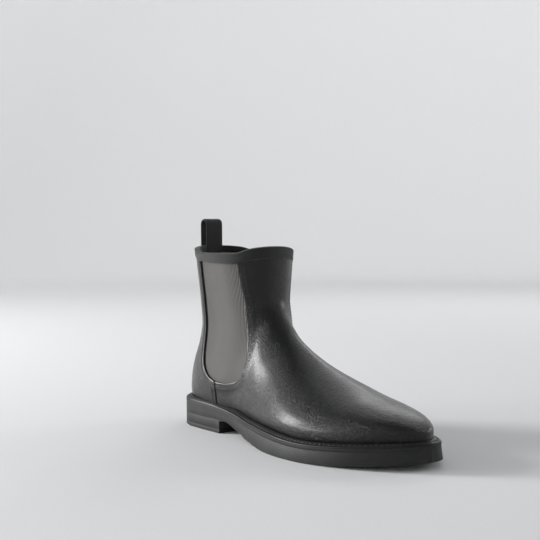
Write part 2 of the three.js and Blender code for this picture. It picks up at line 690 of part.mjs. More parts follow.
function add(name, geometry, color, roughness, metalness = 0) {
  const material = new THREE.MeshStandardMaterial({ color, roughness, metalness });
  const mesh = new THREE.Mesh(geometry, material);
  mesh.name = name;
  boot.add(mesh);
}

const BLACK_LEATHER = 0x1d1e20;
const LINING_TAN = 0xa98c66;
const RUBBER = 0x3c3d3f;
const WEBBING = 0x18191a;
const THREAD = 0x121314;

add('front_upper', geometryOf(largest(front(leather))), BLACK_LEATHER, 0.4);
add('back_quarter', geometryOf(largest(rear(leather))), BLACK_LEATHER, 0.4);
add('back_strip', backBand(BACK_STRIP_WIDTH, -STRIP_LIFT - BACK_STRIP, BACK_STRIP, featherZ(0) + 4,
  COLLAR_HEIGHT - BINDING_DEPTH - 1.5, 14), BLACK_LEATHER, 0.4);
add('collar_binding', collarBinding(), WEBBING, 0.6);
for (const [word, side] of [['lateral', -1], ['medial', 1]]) {
  add(`gusset_${word}`, gusset(side), 0x6f6d6a, 0.85);
  add(`gusset_stitching_${word}`, gussetStitching(side), THREAD, 0.6);
  add(`seam_stitching_${word}`, seamStitching(side), THREAD, 0.6);
}
add('pull_tab_loop', pullTabLoop(), WEBBING, 0.8);
add('pull_tab_anchor_outer', tabAnchor(TAB_OUTER), WEBBING, 0.8);
add('pull_tab_anchor_inner', tabAnchor(TAB_INNER), WEBBING, 0.8);
add('toe_puff', stiffenerBetween(TOE_PUFF_START + HALF_GAP, BIG), 0xcfc7b5, 0.7);
add('vamp_interlining', stiffenerBetween(COUNTER_FRONT + HALF_GAP, TOE_PUFF_START - HALF_GAP), 0xd8d2c4, 0.9);
add('heel_counter', heelCounter(), 0xb59b78, 0.7);
add('vamp_lining', geometryOf(largest(front(lining))), LINING_TAN, 0.7);
add('quarter_lining', geometryOf(largest(rear(lining))), LINING_TAN, 0.7);
add('insole', floorPlate(WALL + 2 * GAP, insoleBase, INSOLE), 0xb08a5c, 0.8);
add('sock_liner', floorPlate(WALL + 5 * GAP, insoleBase + INSOLE + GAP, SOCK), LINING_TAN, 0.7);
add('shank', shank(), 0x9a9c9f, 0.35, 1);
add('cork_filler', corkFiller(), 0xa77c4e, 0.95);
add('welt', welt(), 0x1b1b1c, 0.55);
add('welt_stitching', weltStitching(), THREAD, 0.6);
add('outsole', outsole(), RUBBER, 0.75);
add('heel_block', geometryOf(withNailHoles(heelPlate(0.2, TOP_LIFT + GAP, HEEL_SEAT - GAP))), RUBBER, 0.75);
add('top_lift', geometryOf(heelPlate(0, 0, TOP_LIFT)), RUBBER, 0.8);
nailPlaces.forEach((place, i) => add(`heel_nail_${i + 1}`, nail(place), 0xb8b2a2, 0.4, 1));

export default boot;
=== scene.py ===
"""A right-foot chelsea boot in black leather: elastic side panels, a stitched welt, a rubber sole.

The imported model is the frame. Every size here is in millimetres from the back of the sole, and
place() turns it into metres in the frame, whose origin is on the floor under the heel.
"""

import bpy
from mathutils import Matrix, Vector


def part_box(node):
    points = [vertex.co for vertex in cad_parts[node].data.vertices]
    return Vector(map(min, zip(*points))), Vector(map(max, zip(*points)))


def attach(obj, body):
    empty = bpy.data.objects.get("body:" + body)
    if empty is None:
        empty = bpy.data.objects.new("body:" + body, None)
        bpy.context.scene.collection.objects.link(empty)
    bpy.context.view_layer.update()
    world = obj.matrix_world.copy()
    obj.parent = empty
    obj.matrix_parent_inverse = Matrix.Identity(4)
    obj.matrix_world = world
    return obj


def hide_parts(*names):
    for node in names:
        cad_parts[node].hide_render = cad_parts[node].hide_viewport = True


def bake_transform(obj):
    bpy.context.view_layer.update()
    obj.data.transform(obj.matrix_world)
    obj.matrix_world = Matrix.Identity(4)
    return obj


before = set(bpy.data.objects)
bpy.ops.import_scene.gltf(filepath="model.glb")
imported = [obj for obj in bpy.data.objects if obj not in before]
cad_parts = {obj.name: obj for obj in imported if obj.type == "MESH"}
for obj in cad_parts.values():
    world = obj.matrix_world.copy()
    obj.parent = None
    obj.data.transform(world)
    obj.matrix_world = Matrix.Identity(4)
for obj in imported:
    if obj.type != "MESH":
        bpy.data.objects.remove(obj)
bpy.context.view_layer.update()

import math

import bpy
import numpy as np
from mathutils import Matrix
from mathutils.geometry import delaunay_2d_cdt

# ---- Sizes. The sole, heel and tab come from the frame; the rest are the maker's own.
sole_low, sole_high = (np.array(corner) * 1000 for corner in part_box("outsole"))
HEEL_CENTRE = -sole_low[0]
BODY = "boot"
SOLE_LENGTH = 303.5
BALL_WIDTH = 109
HEEL_WIDTH = 75
HEEL_HEIGHT = sole_high[2]
COLLAR_HEIGHT = 166
COLLAR_DIP = 7
COLLAR_WIDTH = 78
INSTEP_RISE = 92
FOREFOOT_SOLE = 13.1
TOE_SPRING = 5.8
HEEL_BREAST = HEEL_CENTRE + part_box("top_lift")[1][0] * 1000
TOP_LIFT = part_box("top_lift")[1][2] * 1000
HEEL_SEAT = 11
GAP = 0.3
LEATHER = 1.7
STIFFENER = 1.2
LINING = 0.9
WELT_REACH = 5.8
WELT_EDGE = 0.9
STIFFENER_DEPTH = LEATHER + GAP
LINING_DEPTH = STIFFENER_DEPTH + STIFFENER + GAP
WALL = LINING_DEPTH + LINING
GUSSET_REAR = 46.5
GUSSET_FRONT = 110.5
GUSSET_BOTTOM = 44.5
GUSSET_SHOULDER = 74
GUSSET_TOP_REAR = 50
GUSSET_TOP_FRONT = 98
SIDE_SEAM = 71.3
STITCH_INSET = 2.2
STITCH_ROWS = 2
BINDING_DEPTH = 5
BINDING = 0.6
BACK_STRIP_WIDTH = 14
STRIP_LIFT = 0.7
BACK_STRIP = 0.9
INSOLE = 2.2
SOCK_LINER = 1.2
TAB_WIDTH = 18
TAB_WEB = 1.2
SEAM_LAP = 1
TREAD_START = 124
WAIST_STEP = 0.9
TREAD_RIB = 0.6
TREAD_CUT = 1.1
SIDES = {"lateral": -1, "medial": 1}

# Elastic: the width of a rib, of one turn of its yarn, and how deep its two faces lie.
RIB_PITCH = 1.35
YARN_PITCH = 0.9
ELASTIC_FACE, RIB_RISE = 2.25, 0.42
ELASTIC_BACK, BACK_RISE = 2.95, 0.25

# Stitches: pitch, length and thickness.
FINE_STITCH = 2.7, 2.1, 0.62
TACK_STITCH = 0.75, 1.1, 0.9
COLLAR_STITCH = 2.6, 2.0, 0.55
STRIP_STITCH = 2.7, 2.1, 0.6
WELT_STITCH = 4.3, 3.5, 0.95


# ---- Small helpers.
def mix(a, b, t):
    return a + (b - a) * t


def smooth(t):
    t = np.clip(t, 0, 1)
    return t * t * (3 - 2 * t)


def bump(t, centre, width):
    return np.exp(-(((t - centre) / width) ** 2))


def unit(vectors):
    return vectors / np.maximum(np.linalg.norm(vectors, axis=-1, keepdims=True), 1e-9)


def curve(points):
    """A smooth curve through a few points that never overshoots them."""
    x, y = np.array(points, float).T
    step = np.diff(x)
    rise = np.diff(y) / step
    slope = np.concatenate([rise[:1], np.zeros(len(x) - 2), rise[-1:]])
    turning = rise[:-1] * rise[1:] <= 0
    before = 2 * step[1:] + step[:-1]
    after = step[1:] + 2 * step[:-1]
    safe = np.where(rise == 0, 1, rise)
    mean = (before + after) / (before / safe[:-1] + after / safe[1:])
    slope[1:-1] = np.where(turning, 0, mean)

    def at(value):
        value = np.clip(value, x[0], x[-1])
        i = np.clip(np.searchsorted(x, value, side="right") - 1, 0, len(x) - 2)
        h = step[i]
        t = (value - x[i]) / h
        start = (1 + 2 * t) * (1 - t) ** 2 * y[i] + t * (1 - t) ** 2 * h * slope[i]
        return start + t * t * (3 - 2 * t) * y[i + 1] - t * t * (1 - t) * h * slope[i + 1]

    return at


# ---- Sole outline, seen from above: share of the length, share of the heel's or ball's width.
def closed_spline(knots, per_span):
    """A closed centripetal spline through the knots, with per_span points between each two."""
    p0, p1, p2, p3 = (np.roll(knots, shift, 0)[:, None, :] for shift in (1, 0, -1, -2))
    d0, d1, d2 = (np.sqrt(np.linalg.norm(b - a, axis=2, keepdims=True))
                  for a, b in ((p0, p1), (p1, p2), (p2, p3)))
    m1 = ((p1 - p0) / d0 - (p2 - p0) / (d0 + d1) + (p2 - p1) / d1) * d1
    m2 = ((p2 - p1) / d1 - (p3 - p1) / (d1 + d2) + (p3 - p2) / d2) * d1
    t = (np.arange(per_span) / per_span)[None, :, None]
    points = (p1 + m1 * t + (-3 * p1 + 3 * p2 - 2 * m1 - m2) * t**2
              + (2 * p1 - 2 * p2 + m1 + m2) * t**3)
    return points.reshape(-1, 2)


def heel(along, across):
    return along * SOLE_LENGTH, across * HEEL_WIDTH


def ball(along, across):
    return along * SOLE_LENGTH, across * BALL_WIDTH


outline = closed_spline(np.array([
    heel(0, 0), heel(0.008, -0.173), heel(0.033, -0.34), heel(0.089, -0.464), heel(0.165, -0.497),
    heel(0.264, -0.501), heel(0.362, -0.524), ball(0.461, -0.422), ball(0.56, -0.494),
    ball(0.646, -0.525), ball(0.731, -0.514), ball(0.811, -0.459), ball(0.88, -0.372),
    ball(0.939, -0.252), ball(0.982, -0.11), ball(1, 0.028), ball(0.985, 0.16), ball(0.939, 0.28),
    ball(0.873, 0.381), ball(0.801, 0.445), ball(0.722, 0.472), ball(0.656, 0.461),
    ball(0.56, 0.408), ball(0.461, 0.349), heel(0.362, 0.464), heel(0.264, 0.477),
    heel(0.165, 0.5), heel(0.089, 0.467), heel(0.033, 0.344), heel(0.008, 0.176)]), 16)
outline_along = unit(np.roll(outline, -1, 0) - np.roll(outline, 1, 0))
outline_inward = np.stack([-outline_along[:, 1], outline_along[:, 0]], 1)


# ---- Heights along the sole.
def along(share):
    return share * SOLE_LENGTH


sole_top = curve([
    (0, HEEL_HEIGHT), (along(0.2), HEEL_HEIGHT - 1), (along(0.3), HEEL_HEIGHT - 3.5),
    (along(0.43), mix(FOREFOOT_SOLE, HEEL_HEIGHT, 0.35) - 1), (along(0.575), FOREFOOT_SOLE + 1.5),
    (along(0.71), FOREFOOT_SOLE), (along(0.825), FOREFOOT_SOLE + TOE_SPRING * 0.25),
    (SOLE_LENGTH, FOREFOOT_SOLE + TOE_SPRING)])
sole_bottom = curve([
    (0, HEEL_SEAT), (HEEL_BREAST + 7, HEEL_SEAT), (along(0.37), HEEL_SEAT * 0.55),
    (along(0.46), HEEL_SEAT * 0.2), (along(0.53), HEEL_SEAT * 0.05), (along(0.6), 0),
    (along(0.71), 0), (along(0.825), TOE_SPRING * 0.25), (along(0.92), TOE_SPRING * 0.62),
    (SOLE_LENGTH, TOE_SPRING)])


def feather(x):
    return sole_top(x) + GAP


# ---- Upper: a foot body and an ankle tube, blended into one surface.
upper_edge = outline + outline_inward * WELT_REACH
heel_index = upper_edge[:, 0].argmin()
from_heel = np.roll(upper_edge, -heel_index, 0)
toe_index = from_heel[:, 0].argmax()
lateral_edge = from_heel[:toe_index + 1]
medial_edge = np.vstack([from_heel[toe_index:], from_heel[:1]])[::-1]
HEEL_END = from_heel[0, 0]
TOE_END = from_heel[toe_index, 0]
WIDEST = 9          # height of the widest line above the feather edge
TUCK = 24           # how deep the section would close below that line
BLEND = 16          # sharpness of the join of foot and ankle
ROUNDED = 2.15      # power of the ankle's section
centre_line = curve([
    (HEEL_END, 0), (along(0.2), 0), (along(0.36), -0.5), (along(0.49), 1), (along(0.66), 4),
    (along(0.82), 5), (TOE_END - 1, 4)])


def rise(share):
    return HEEL_HEIGHT + share * INSTEP_RISE


def tall(share):
    return share * COLLAR_HEIGHT


ridge = curve([
    (0, rise(0.19)), (along(0.06), rise(0.37)), (along(0.15), rise(0.69)),
    (along(0.26), rise(0.965)), (along(0.343), rise(1)), (along(0.4), rise(0.9)),
    (along(0.455), rise(0.717)),
    (along(0.515), rise(0.582)), (along(0.586), rise(0.462)), (along(0.672), rise(0.355)),
    (along(0.758), rise(0.264)), (along(0.837), rise(0.21)), (along(0.896), rise(0.168)),
    (along(0.942), rise(0.118)), (along(0.965), rise(0.08)), (along(0.98), rise(0.04))])
# The powers of the section over the foot: it is peaked at the waist and full at the toe.
crown_power = curve([
    (along(0.5), 1.55), (along(0.62), 1.66), (along(0.8), 2.05), (along(0.92), 2.3)])
side_power = curve([(along(0.5), 1.95), (along(0.62), 2), (along(0.8), 2.2), (along(0.92), 2.3)])
ankle_back = curve([
    (0, 8), (tall(0.12), 6), (tall(0.19), 3.4), (tall(0.27), 2), (tall(0.36), 4.8),
    (tall(0.47), 12.6), (tall(0.58), 17), (tall(0.7), 17), (tall(0.84), 16), (tall(1), 14.5)])
ankle_front = curve([
    (0, 110), (tall(0.36), 122), (tall(0.48), 124), (tall(0.6), 122), (tall(0.72), 117.5),
    (tall(0.84), 117.5), (tall(1), 118.5)])
ankle_half_width = curve([
    (0, 31), (tall(0.15), 33), (tall(0.27), 35.5), (tall(0.42), 32.5), (tall(0.57), 31),
    (tall(0.69), 32.5), (tall(0.84), mix(32.5, COLLAR_WIDTH / 2, 0.5)),
    (tall(1), COLLAR_WIDTH / 2)])


def upper_field(p):
    """Below zero inside the upper, above zero outside it."""
    x, y, z = p[..., 0], p[..., 1], p[..., 2]
    station = np.clip(x, HEEL_END + 0.05, TOE_END - 0.02)
    widest_z = feather(station) + WIDEST
    height = np.maximum(ridge(station) - widest_z, 0.8)
    middle = centre_line(station)
    edge = np.where(y < middle, np.interp(station, *lateral_edge.T),
                    np.interp(station, *medial_edge.T))
    width = np.maximum(np.abs(edge - middle), 0.4)
    above = np.maximum(z - widest_z, 0) / height
    below = np.maximum(widest_z - z, 0) / TUCK
    across = np.abs(y - middle) / width
    foot = np.sqrt(across ** side_power(station) + above ** crown_power(station) + below**2) - 1
    foot = np.where(x > TOE_END - 0.02, 1 + (x - TOE_END) / 5, foot)
    foot = np.where(x < HEEL_END + 0.05, 1 + (HEEL_END - x) / 5, foot)
    back, front = ankle_back(z), ankle_front(z)
    deepest = mix(back, front, 0.57)
    reach = np.where(x < deepest, deepest - back, front - deepest)
    rounded = (np.abs(x - deepest) / reach) ** ROUNDED
    rounded += (np.abs(y) / ankle_half_width(z)) ** ROUNDED
    ankle = rounded ** (1 / ROUNDED) - 1
    least = np.minimum(foot, ankle)
    together = np.exp(-BLEND * (foot - least)) + np.exp(-BLEND * (ankle - least))
    return least - np.log(together) / BLEND


def upper_normal(p):
    e = 0.5
    steps = np.eye(3) * e
    return unit(np.stack([upper_field(p + s) - upper_field(p - s) for s in steps], -1))


front_x = curve([
    (0, TOE_END), (0.05, TOE_END), (0.1, TOE_END - 3), (0.15, TOE_END - 8), (0.2, TOE_END - 17),
    (0.3, along(0.85)), (0.4, along(0.77)), (0.5, along(0.68)), (0.6, along(0.593)),
    (0.7, along(0.51)), (0.8, along(0.455)), (0.9, along(0.41)), (1, 118.5)])
front_z = curve([
    (0, feather(TOE_END)), (0.05, feather(TOE_END) + 9), (0.1, rise(0.138)), (0.15, rise(0.19)),
    (0.2, rise(0.235)), (0.3, rise(0.3)), (0.4, rise(0.355)), (0.5, rise(0.42)), (0.6, rise(0.52)),
    (0.7, rise(0.69)), (0.8, rise(0.93)), (0.9, mix(rise(0.93), COLLAR_HEIGHT, 0.5)),
    (1, COLLAR_HEIGHT - 1)])
ray_centre = curve([(0, 135), (0.3, 120), (0.5, 98), (0.7, 78), (0.85, 70), (1, 68)])
ray_spread = curve([(0, 50), (0.4, 44), (0.7, 38), (1, 38)])
collar_z = curve([
    (10, COLLAR_HEIGHT), (28, COLLAR_HEIGHT - 0.3 * COLLAR_DIP), (48, COLLAR_HEIGHT - COLLAR_DIP),
    (98, COLLAR_HEIGHT - COLLAR_DIP), (112, COLLAR_HEIGHT - 0.4 * COLLAR_DIP),
    (119, COLLAR_HEIGHT - 1)])


def sheet_height(x, v):
    """The height at x of the sheet v, which runs from the feather edge (0) to the collar (1)."""
    back = mix(feather(0), COLLAR_HEIGHT, v)
    share = (x - HEEL_END) / (front_x(v) - HEEL_END)
    flat = mix(back, front_z(v), share)
    foot = mix(feather(0), feather(TOE_END), (x - HEEL_END) / (TOE_END - HEEL_END))
    top = mix(COLLAR_HEIGHT, COLLAR_HEIGHT - 1, share)
    low = 1 - smooth(v / 0.35)
    high = smooth((v - 0.72) / 0.28)
    return flat + (feather(x) - foot) * low + (collar_z(x) - top) * high


def half_length(v):
    return np.hypot(front_x(v) - HEEL_END, front_z(v) - mix(feather(0), COLLAR_HEIGHT, v)) / 2


def settle(spot, near, far, rounds):
    """The points between near (inside) and far (outside) where the upper's surface lies."""
    for _ in range(rounds):
        middle = (near + far) / 2
        outside = upper_field(spot(middle)) > 0
        far = np.where(outside, middle, far)
        near = np.where(outside, near, middle)
    return spot((near + far) / 2)


def upper_point(phi, v):
    """The point of the upper at angle phi (0 at the toe) on sheet v."""
    phi, v = np.broadcast_arrays(np.asarray(phi, float), np.asarray(v, float))
    heading = unit(np.stack([half_length(v) * np.cos(phi), ray_spread(v) * np.sin(phi)], -1))
    centre = ray_centre(v)

    def spot(r):
        x = centre + heading[..., 0] * r
        return np.stack([x, heading[..., 1] * r, sheet_height(x, v)], -1)

    near = np.full(v.shape, 4.0)
    waiting = np.ones(v.shape, bool)
    for reach in np.arange(9, 240, 5.0):
        inside = upper_field(spot(np.full(v.shape, reach))) <= 0
        waiting &= inside
        near = np.where(waiting, reach, near)
    return settle(spot, near, near + 5, 20)


def side_point(x, z, side):
    x, z = np.broadcast_arrays(np.asarray(x, float), np.asarray(z, float))
    return settle(lambda y: np.stack([x, y * side, z], -1), np.full(x.shape, 5.0),
                  np.full(x.shape, 70.0), 26)


def back_point(y, z):
    y, z = np.broadcast_arrays(np.asarray(y, float), np.asarray(z, float))
    return settle(lambda x: np.stack([x, y, z], -1), np.full(y.shape, 40.0),
                  np.full(y.shape, -6.0), 26)


def sheet_place(points):
    """The angle and sheet of points that lie on the upper."""
    low = np.zeros(len(points))
    high = np.ones(len(points))
    for _ in range(24):
        v = (low + high) / 2
        under = sheet_height(points[:, 0], v) < points[:, 2]
        low = np.where(under, v, low)
        high = np.where(under, high, v)
    v = (low + high) / 2
    ahead = (points[:, 0] - ray_centre(v)) / half_length(v)
    return np.arctan2(points[:, 1] / ray_spread(v), ahead), v


# ---- The gusset window in side view, from its rear top corner down and round to the front.
def bezier(a, b, c, d, count):
    t = np.linspace(0, 1, count)[1:, None]
    a, b, c, d = (np.array(p, float) for p in (a, b, c, d))
    return (1 - t) ** 3 * a + 3 * t * (1 - t) ** 2 * b + 3 * t * t * (1 - t) * c + t**3 * d


def gusset_edge(grow):
    lowest = mix(GUSSET_REAR, GUSSET_FRONT, 0.56)
    top = COLLAR_HEIGHT + 20
    floor = GUSSET_BOTTOM - grow
    start = np.array([[GUSSET_TOP_REAR - grow, top]])
    shoulder = np.array([GUSSET_REAR - grow, GUSSET_SHOULDER])
    rear = start + (shoulder - start) * np.linspace(0, 1, 80)[1:, None]
    left = bezier(shoulder, (GUSSET_REAR - grow, GUSSET_BOTTOM + 13 - grow),
                  (GUSSET_REAR + 12, floor), (lowest, floor), 40)
    right = bezier((lowest, floor), (lowest + 20, floor),
                   (GUSSET_FRONT + 3 + grow, GUSSET_BOTTOM + 8 - grow),
                   (GUSSET_FRONT + grow, GUSSET_SHOULDER), 40)
    front = bezier((GUSSET_FRONT + grow, GUSSET_SHOULDER),
                   (GUSSET_FRONT - 2 + grow, GUSSET_SHOULDER + 18),
                   (GUSSET_TOP_FRONT + 4 + grow, GUSSET_SHOULDER + 46),
                   (GUSSET_TOP_FRONT + grow, top), 80)
    return np.vstack([start, rear, left, right, front])


def along_path(path, spacing):
    """The path again, with points at an even spacing."""
    steps = np.linalg.norm(np.diff(path, axis=0), axis=1)
    length = np.concatenate([[0], np.cumsum(steps)])
    marks = np.linspace(0, length[-1], max(int(round(length[-1] / spacing)), 2) + 1)
    return np.stack([np.interp(marks, length, path[:, k]) for k in range(path.shape[1])], 1)


def gusset_distance(points):
    """How far outside the gusset's edge a point of the upper is, in side view."""
    edge = along_path(gusset_edge(0), 2)
    gap = np.full(len(points), 60.0)
    near = np.nonzero((points[:, 0] > 20) & (points[:, 0] < 150))[0]
    for start in range(0, len(near), 4000):
        some = near[start:start + 4000]
        flat = points[some][:, [0, 2]]
        a, b = edge[:-1], edge[1:]
        ab = b - a
        t = np.clip(((flat[:, None] - a) * ab).sum(2) / (ab**2).sum(1), 0, 1)
        gap[some] = np.linalg.norm(flat[:, None] - (a + ab * t[..., None]), axis=2).min(1)
    return gap


# ---- Meshes.
def place(points):
    """Millimetres from the back of the sole to metres in the frame."""
    return (np.asarray(points, float) - (HEEL_CENTRE, 0, 0)) / 1000


def unplace(points):
    return np.asarray(points, float) * 1000 + (HEEL_CENTRE, 0, 0)


def piece(name, points, faces, material, slot, stands_for=(), body=BODY):
    mesh = bpy.data.meshes.new(name)
    mesh.from_pydata(place(points).tolist(), [], [list(map(int, face)) for face in faces])
    mesh.validate()
    mesh.materials.append(material)
    mesh.shade_smooth()
    made = bpy.data.objects.new(name, mesh)
    bpy.context.scene.collection.objects.link(made)
    finish_piece(made, slot, stands_for, body)
    return made


def finish_piece(made, slot, stands_for, body=BODY):
    if body:
        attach(made, body)
    if stands_for:
        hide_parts(*stands_for)


def only(made):
    """Selects this object alone."""
    bpy.ops.object.select_all(action="DESELECT")
    made.select_set(True)
    bpy.context.view_layer.objects.active = made


def apply_modifiers(made):
    only(made)
    for modifier in list(made.modifiers):
        bpy.ops.object.modifier_apply(modifier=modifier.name)


def face_out(made):
    only(made)
    bpy.ops.object.mode_set(mode="EDIT")
    bpy.ops.mesh.select_all(action="SELECT")
    bpy.ops.mesh.normals_make_consistent(inside=False)
    bpy.ops.object.mode_set(mode="OBJECT")


def soften(made, width, angle=50):
    """Rounds the sharp edges and shades the rest smooth."""
    bevel = made.modifiers.new("soft_edges", "BEVEL")
    bevel.width = width / 1000
    bevel.segments = 2
    bevel.limit_method = "ANGLE"
    bevel.angle_limit = math.radians(angle)
    apply_modifiers(made)
    only(made)
    bpy.ops.object.shade_smooth_by_angle(angle=math.radians(38))


def ring_faces(rows, columns):
    """Quads over a ring of loops: each loop closes on itself, and the last joins the first."""
    r, c = np.meshgrid(np.arange(rows), np.arange(columns), indexing="ij")
    n, k = (r + 1) % rows, (c + 1) % columns
    quads = np.stack([r * columns + c, r * columns + k, n * columns + k, n * columns + c], -1)
    return quads.reshape(-1, 4).tolist()


def grid_faces(rows, columns):
    r, c = np.meshgrid(np.arange(rows - 1), np.arange(columns - 1), indexing="ij")
    a = r * columns + c
    return np.stack([a, a + 1, a + columns + 1, a + columns], -1).reshape(-1, 4).tolist()


def double_sheet(outer, inner, rows, columns):
    """Two grids of points back to back, closed round their rim."""
    count = rows * columns
    rim = np.concatenate([np.arange(columns), np.arange(2 * columns - 1, count, columns),
                          np.arange(count - 2, count - columns - 1, -1),
                          np.arange(count - 2 * columns, 0, -columns)])
    faces = grid_faces(rows, columns)
    faces += [[d + count, c + count, b + count, a + count] for a, b, c, d in faces]
    faces += [[b, a, a + count, b + count] for a, b in zip(rim, np.roll(rim, -1))]
    return np.vstack([outer, inner]), faces


def set_uv(made, coordinates):
    """Stores a flat coordinate in millimetres for each point."""
    layer = made.data.uv_layers.new(name="flat")
    corners = np.empty(len(made.data.loops), int)
    made.data.loops.foreach_get("vertex_index", corners)
    layer.data.foreach_set("uv", np.asarray(coordinates, float)[corners].ravel())


# ---- Sheets of the upper cut to a pattern.
ACROSS = 760    # about the girth of the feather edge, so that a step is alike both ways
UPWARD = 230
LEATHER_STEP = 2.2
LINING_STEP = 5


def inside(points, loop):
    result = np.zeros(len(points), bool)
    x, y = points[:, 0], points[:, 1]
    for (ax, ay), (bx, by) in zip(loop, np.roll(loop, -1, 0)):
        crosses = (ay > y) != (by > y)
        slope = (bx - ax) / (by - ay) if by != ay else 0
        result ^= crosses & (x < ax + (y - ay) * slope)
    return result


def flatten(places):
    return places * (ACROSS / (2 * math.pi), UPWARD)


def distance_to(points, others):
    nearest = np.full(len(points), 1e9)
    for start in range(0, len(others), 60):
        gap = np.linalg.norm(points[:, None] - others[start:start + 60], axis=2)
        nearest = np.minimum(nearest, gap.min(1))
    return nearest


def pattern_sheet(pattern, spacing, rows):
    """Triangles over a pattern of (angle, sheet) corners, with rows of extra points inside it."""
    flat = flatten(pattern)
    low, high = flat.min(0), flat.max(0)
    u, w = np.meshgrid(np.arange(low[0], high[0], spacing), np.arange(low[1], high[1], spacing),
                       indexing="ij")
    lattice = np.column_stack([u.ravel(), w.ravel()])
    lattice = lattice[inside(lattice, flat)]
    points = flat
    if len(rows):
        rows = flatten(rows)
        rows = rows[inside(rows, flat)]
        rows = rows[distance_to(rows, flat) > 0.3]
        points = np.vstack([flat, rows])
    lattice = lattice[distance_to(lattice, points) > spacing * 0.7]
    points = np.vstack([points, lattice])
    border = [(i, (i + 1) % len(flat)) for i in range(len(flat))]
    found = delaunay_2d_cdt([tuple(p) for p in points], border, [], 0, 1e-4, False)
    corners = np.array([tuple(p) for p in found[0]])
    faces = np.array([list(f) for f in found[2]])
    faces = faces[inside(corners[faces].mean(1), flat)]
    angles = corners[:, 0] / ACROSS * 2 * math.pi
    return angles, corners[:, 1] / UPWARD, faces


def edge_loop(faces):
    """The edges that only one face uses, pointing as that face does."""
    seen = {}
    for a, b, c in faces:
        for edge in ((a, b), (b, c), (c, a)):
            seen[tuple(sorted(edge))] = None if tuple(sorted(edge)) in seen else edge
    return [edge for edge in seen.values() if edge]


def upper_panel(name, node, ahead, outside):
    """The leather or the lining of the front or the rear, cut to its pattern."""
    if outside:
        depth, thickness, material, slot = 0, LEATHER, black_calf, "upper_leather"
        angles, v, faces = pattern_sheet(panel_pattern(ahead), LEATHER_STEP, edge_rows(ahead))
    else:
        depth, thickness, material, slot = LINING_DEPTH, LINING, lining_leather, "lining"
        angles, v, faces = pattern_sheet(panel_pattern(ahead), LINING_STEP, ())
    base = upper_point(angles, np.clip(v, 0, 1))
    normal = upper_normal(base)
    lift = leather_relief(base, ahead) if outside else np.zeros(len(base))
    outer = base + normal * (lift - depth)[:, None]
    inner = base - normal * (depth + thickness)
    count = len(base)
    a, b, c = faces[0]
    if np.dot(np.cross(outer[b] - outer[a], outer[c] - outer[a]), normal[a]) < 0:
        faces = faces[:, ::-1]
    all_faces = faces.tolist() + (faces[:, ::-1] + count).tolist()
    all_faces += [[j, i, i + count, j + count] for i, j in edge_loop(faces)]
    soften(piece(name, np.vstack([outer, inner]), all_faces, material, slot, [node]), 0.35)


def on_upper(path, side):
    """A side-view path laid on one side of the upper, as (angle, sheet)."""
    points = side_point(path[:, 0], path[:, 1], side)
    return np.column_stack(sheet_place(points))


def under_collar(path):
    return path[path[:, 1] < collar_z(path[:, 0]) - 0.2]


def split_window(x_low, x_high):
    """The gusset's edge behind and in front of the side seam, each from the seam upwards."""
    edge = along_path(gusset_edge(0), 1.6)
    lowest = edge[:, 1].argmin()
    rear = edge[:lowest + 1]
    rear = rear[rear[:, 0] < x_low][::-1]
    front = np.vstack([edge[:lowest + 1][edge[:lowest + 1, 0] > x_high], edge[lowest + 1:]])
    return under_collar(rear), under_collar(front)


def seam_path(x, top):
    z = np.linspace(feather(x) + 0.02, top, 16)
    return np.column_stack([np.full(len(z), x), z])


def v_row(start, end, v, spacing=1.8):
    count = int(abs(end - start) / (2 * math.pi) * ACROSS / spacing)
    angles = np.linspace(start, end, count)
    return np.column_stack([angles, np.full(count, v)])


def panel_pattern(ahead):
    """The outline of the front or the rear panel, as (angle, sheet) corners in order."""
    x = SIDE_SEAM + (GAP / 2 if ahead else SEAM_LAP)
    edge = split_window(x - GAP, x)[1] if ahead else split_window(x, x + GAP)[0]
    side = np.vstack([seam_path(x, edge[0, 1])[:-1], edge])
    first, last = on_upper(side, -1), on_upper(side, 1)
    if not ahead:
        first[:, 0] += 2 * math.pi
        first, last = last, first
    bottom = v_row(first[0, 0], last[0, 0], 0)
    top = v_row(last[-1, 0], first[-1, 0], 1)
    return np.vstack([bottom, last[1:], top, first[:0:-1]])


def leather_relief(points, ahead):
    """The leather steps over the hidden edge of the elastic, and its two rows of stitches sink in.

    The rear panel laps over the front one at the side seam.
    """
    gap = gusset_distance(points)
    over_elastic = 0.5 * (1 - smooth((gap - 5.2) / 2.6))
    rolled_edge = -0.35 * (1 - smooth(gap / 0.9))
    rows = bump(gap, STITCH_INSET, 0.42) + bump(gap, STITCH_INSET + STITCH_ROWS, 0.42)
    seam = np.abs(points[:, 0] - SIDE_SEAM)
    below = 1 - smooth((points[:, 2] - GUSSET_BOTTOM + 2) / 4)
    if ahead:
        under_lap = 1 - smooth((points[:, 0] - SIDE_SEAM - SEAM_LAP) / 3)
        seam_row = 0.45 * under_lap * below
    else:
        seam_row = below * bump(seam, STITCH_INSET, 0.4) * 0.2
        seam_row -= 0.4 * (1 - smooth(seam / 9)) * below
    x, y, z = points.T
    flex = smooth((x - 165) / 25) * (1 - smooth((x - 218) / 22)) * smooth((z - 26) / 16)
    creases = 0.035 * np.sin((x - 0.22 * np.abs(y - 3) ** 1.25 + 0.8 * np.sin(y / 7)) / 2.6)
    return over_elastic + rolled_edge - 0.2 * rows - seam_row + creases * flex


# ---- Finishes: small helpers for the node trees.
def feed(tree, socket, value):
    """Links another node's socket to this one, or sets a plain value."""
    if isinstance(value, bpy.types.NodeSocket):
        tree.links.new(value, socket)
    else:
        socket.default_value = value


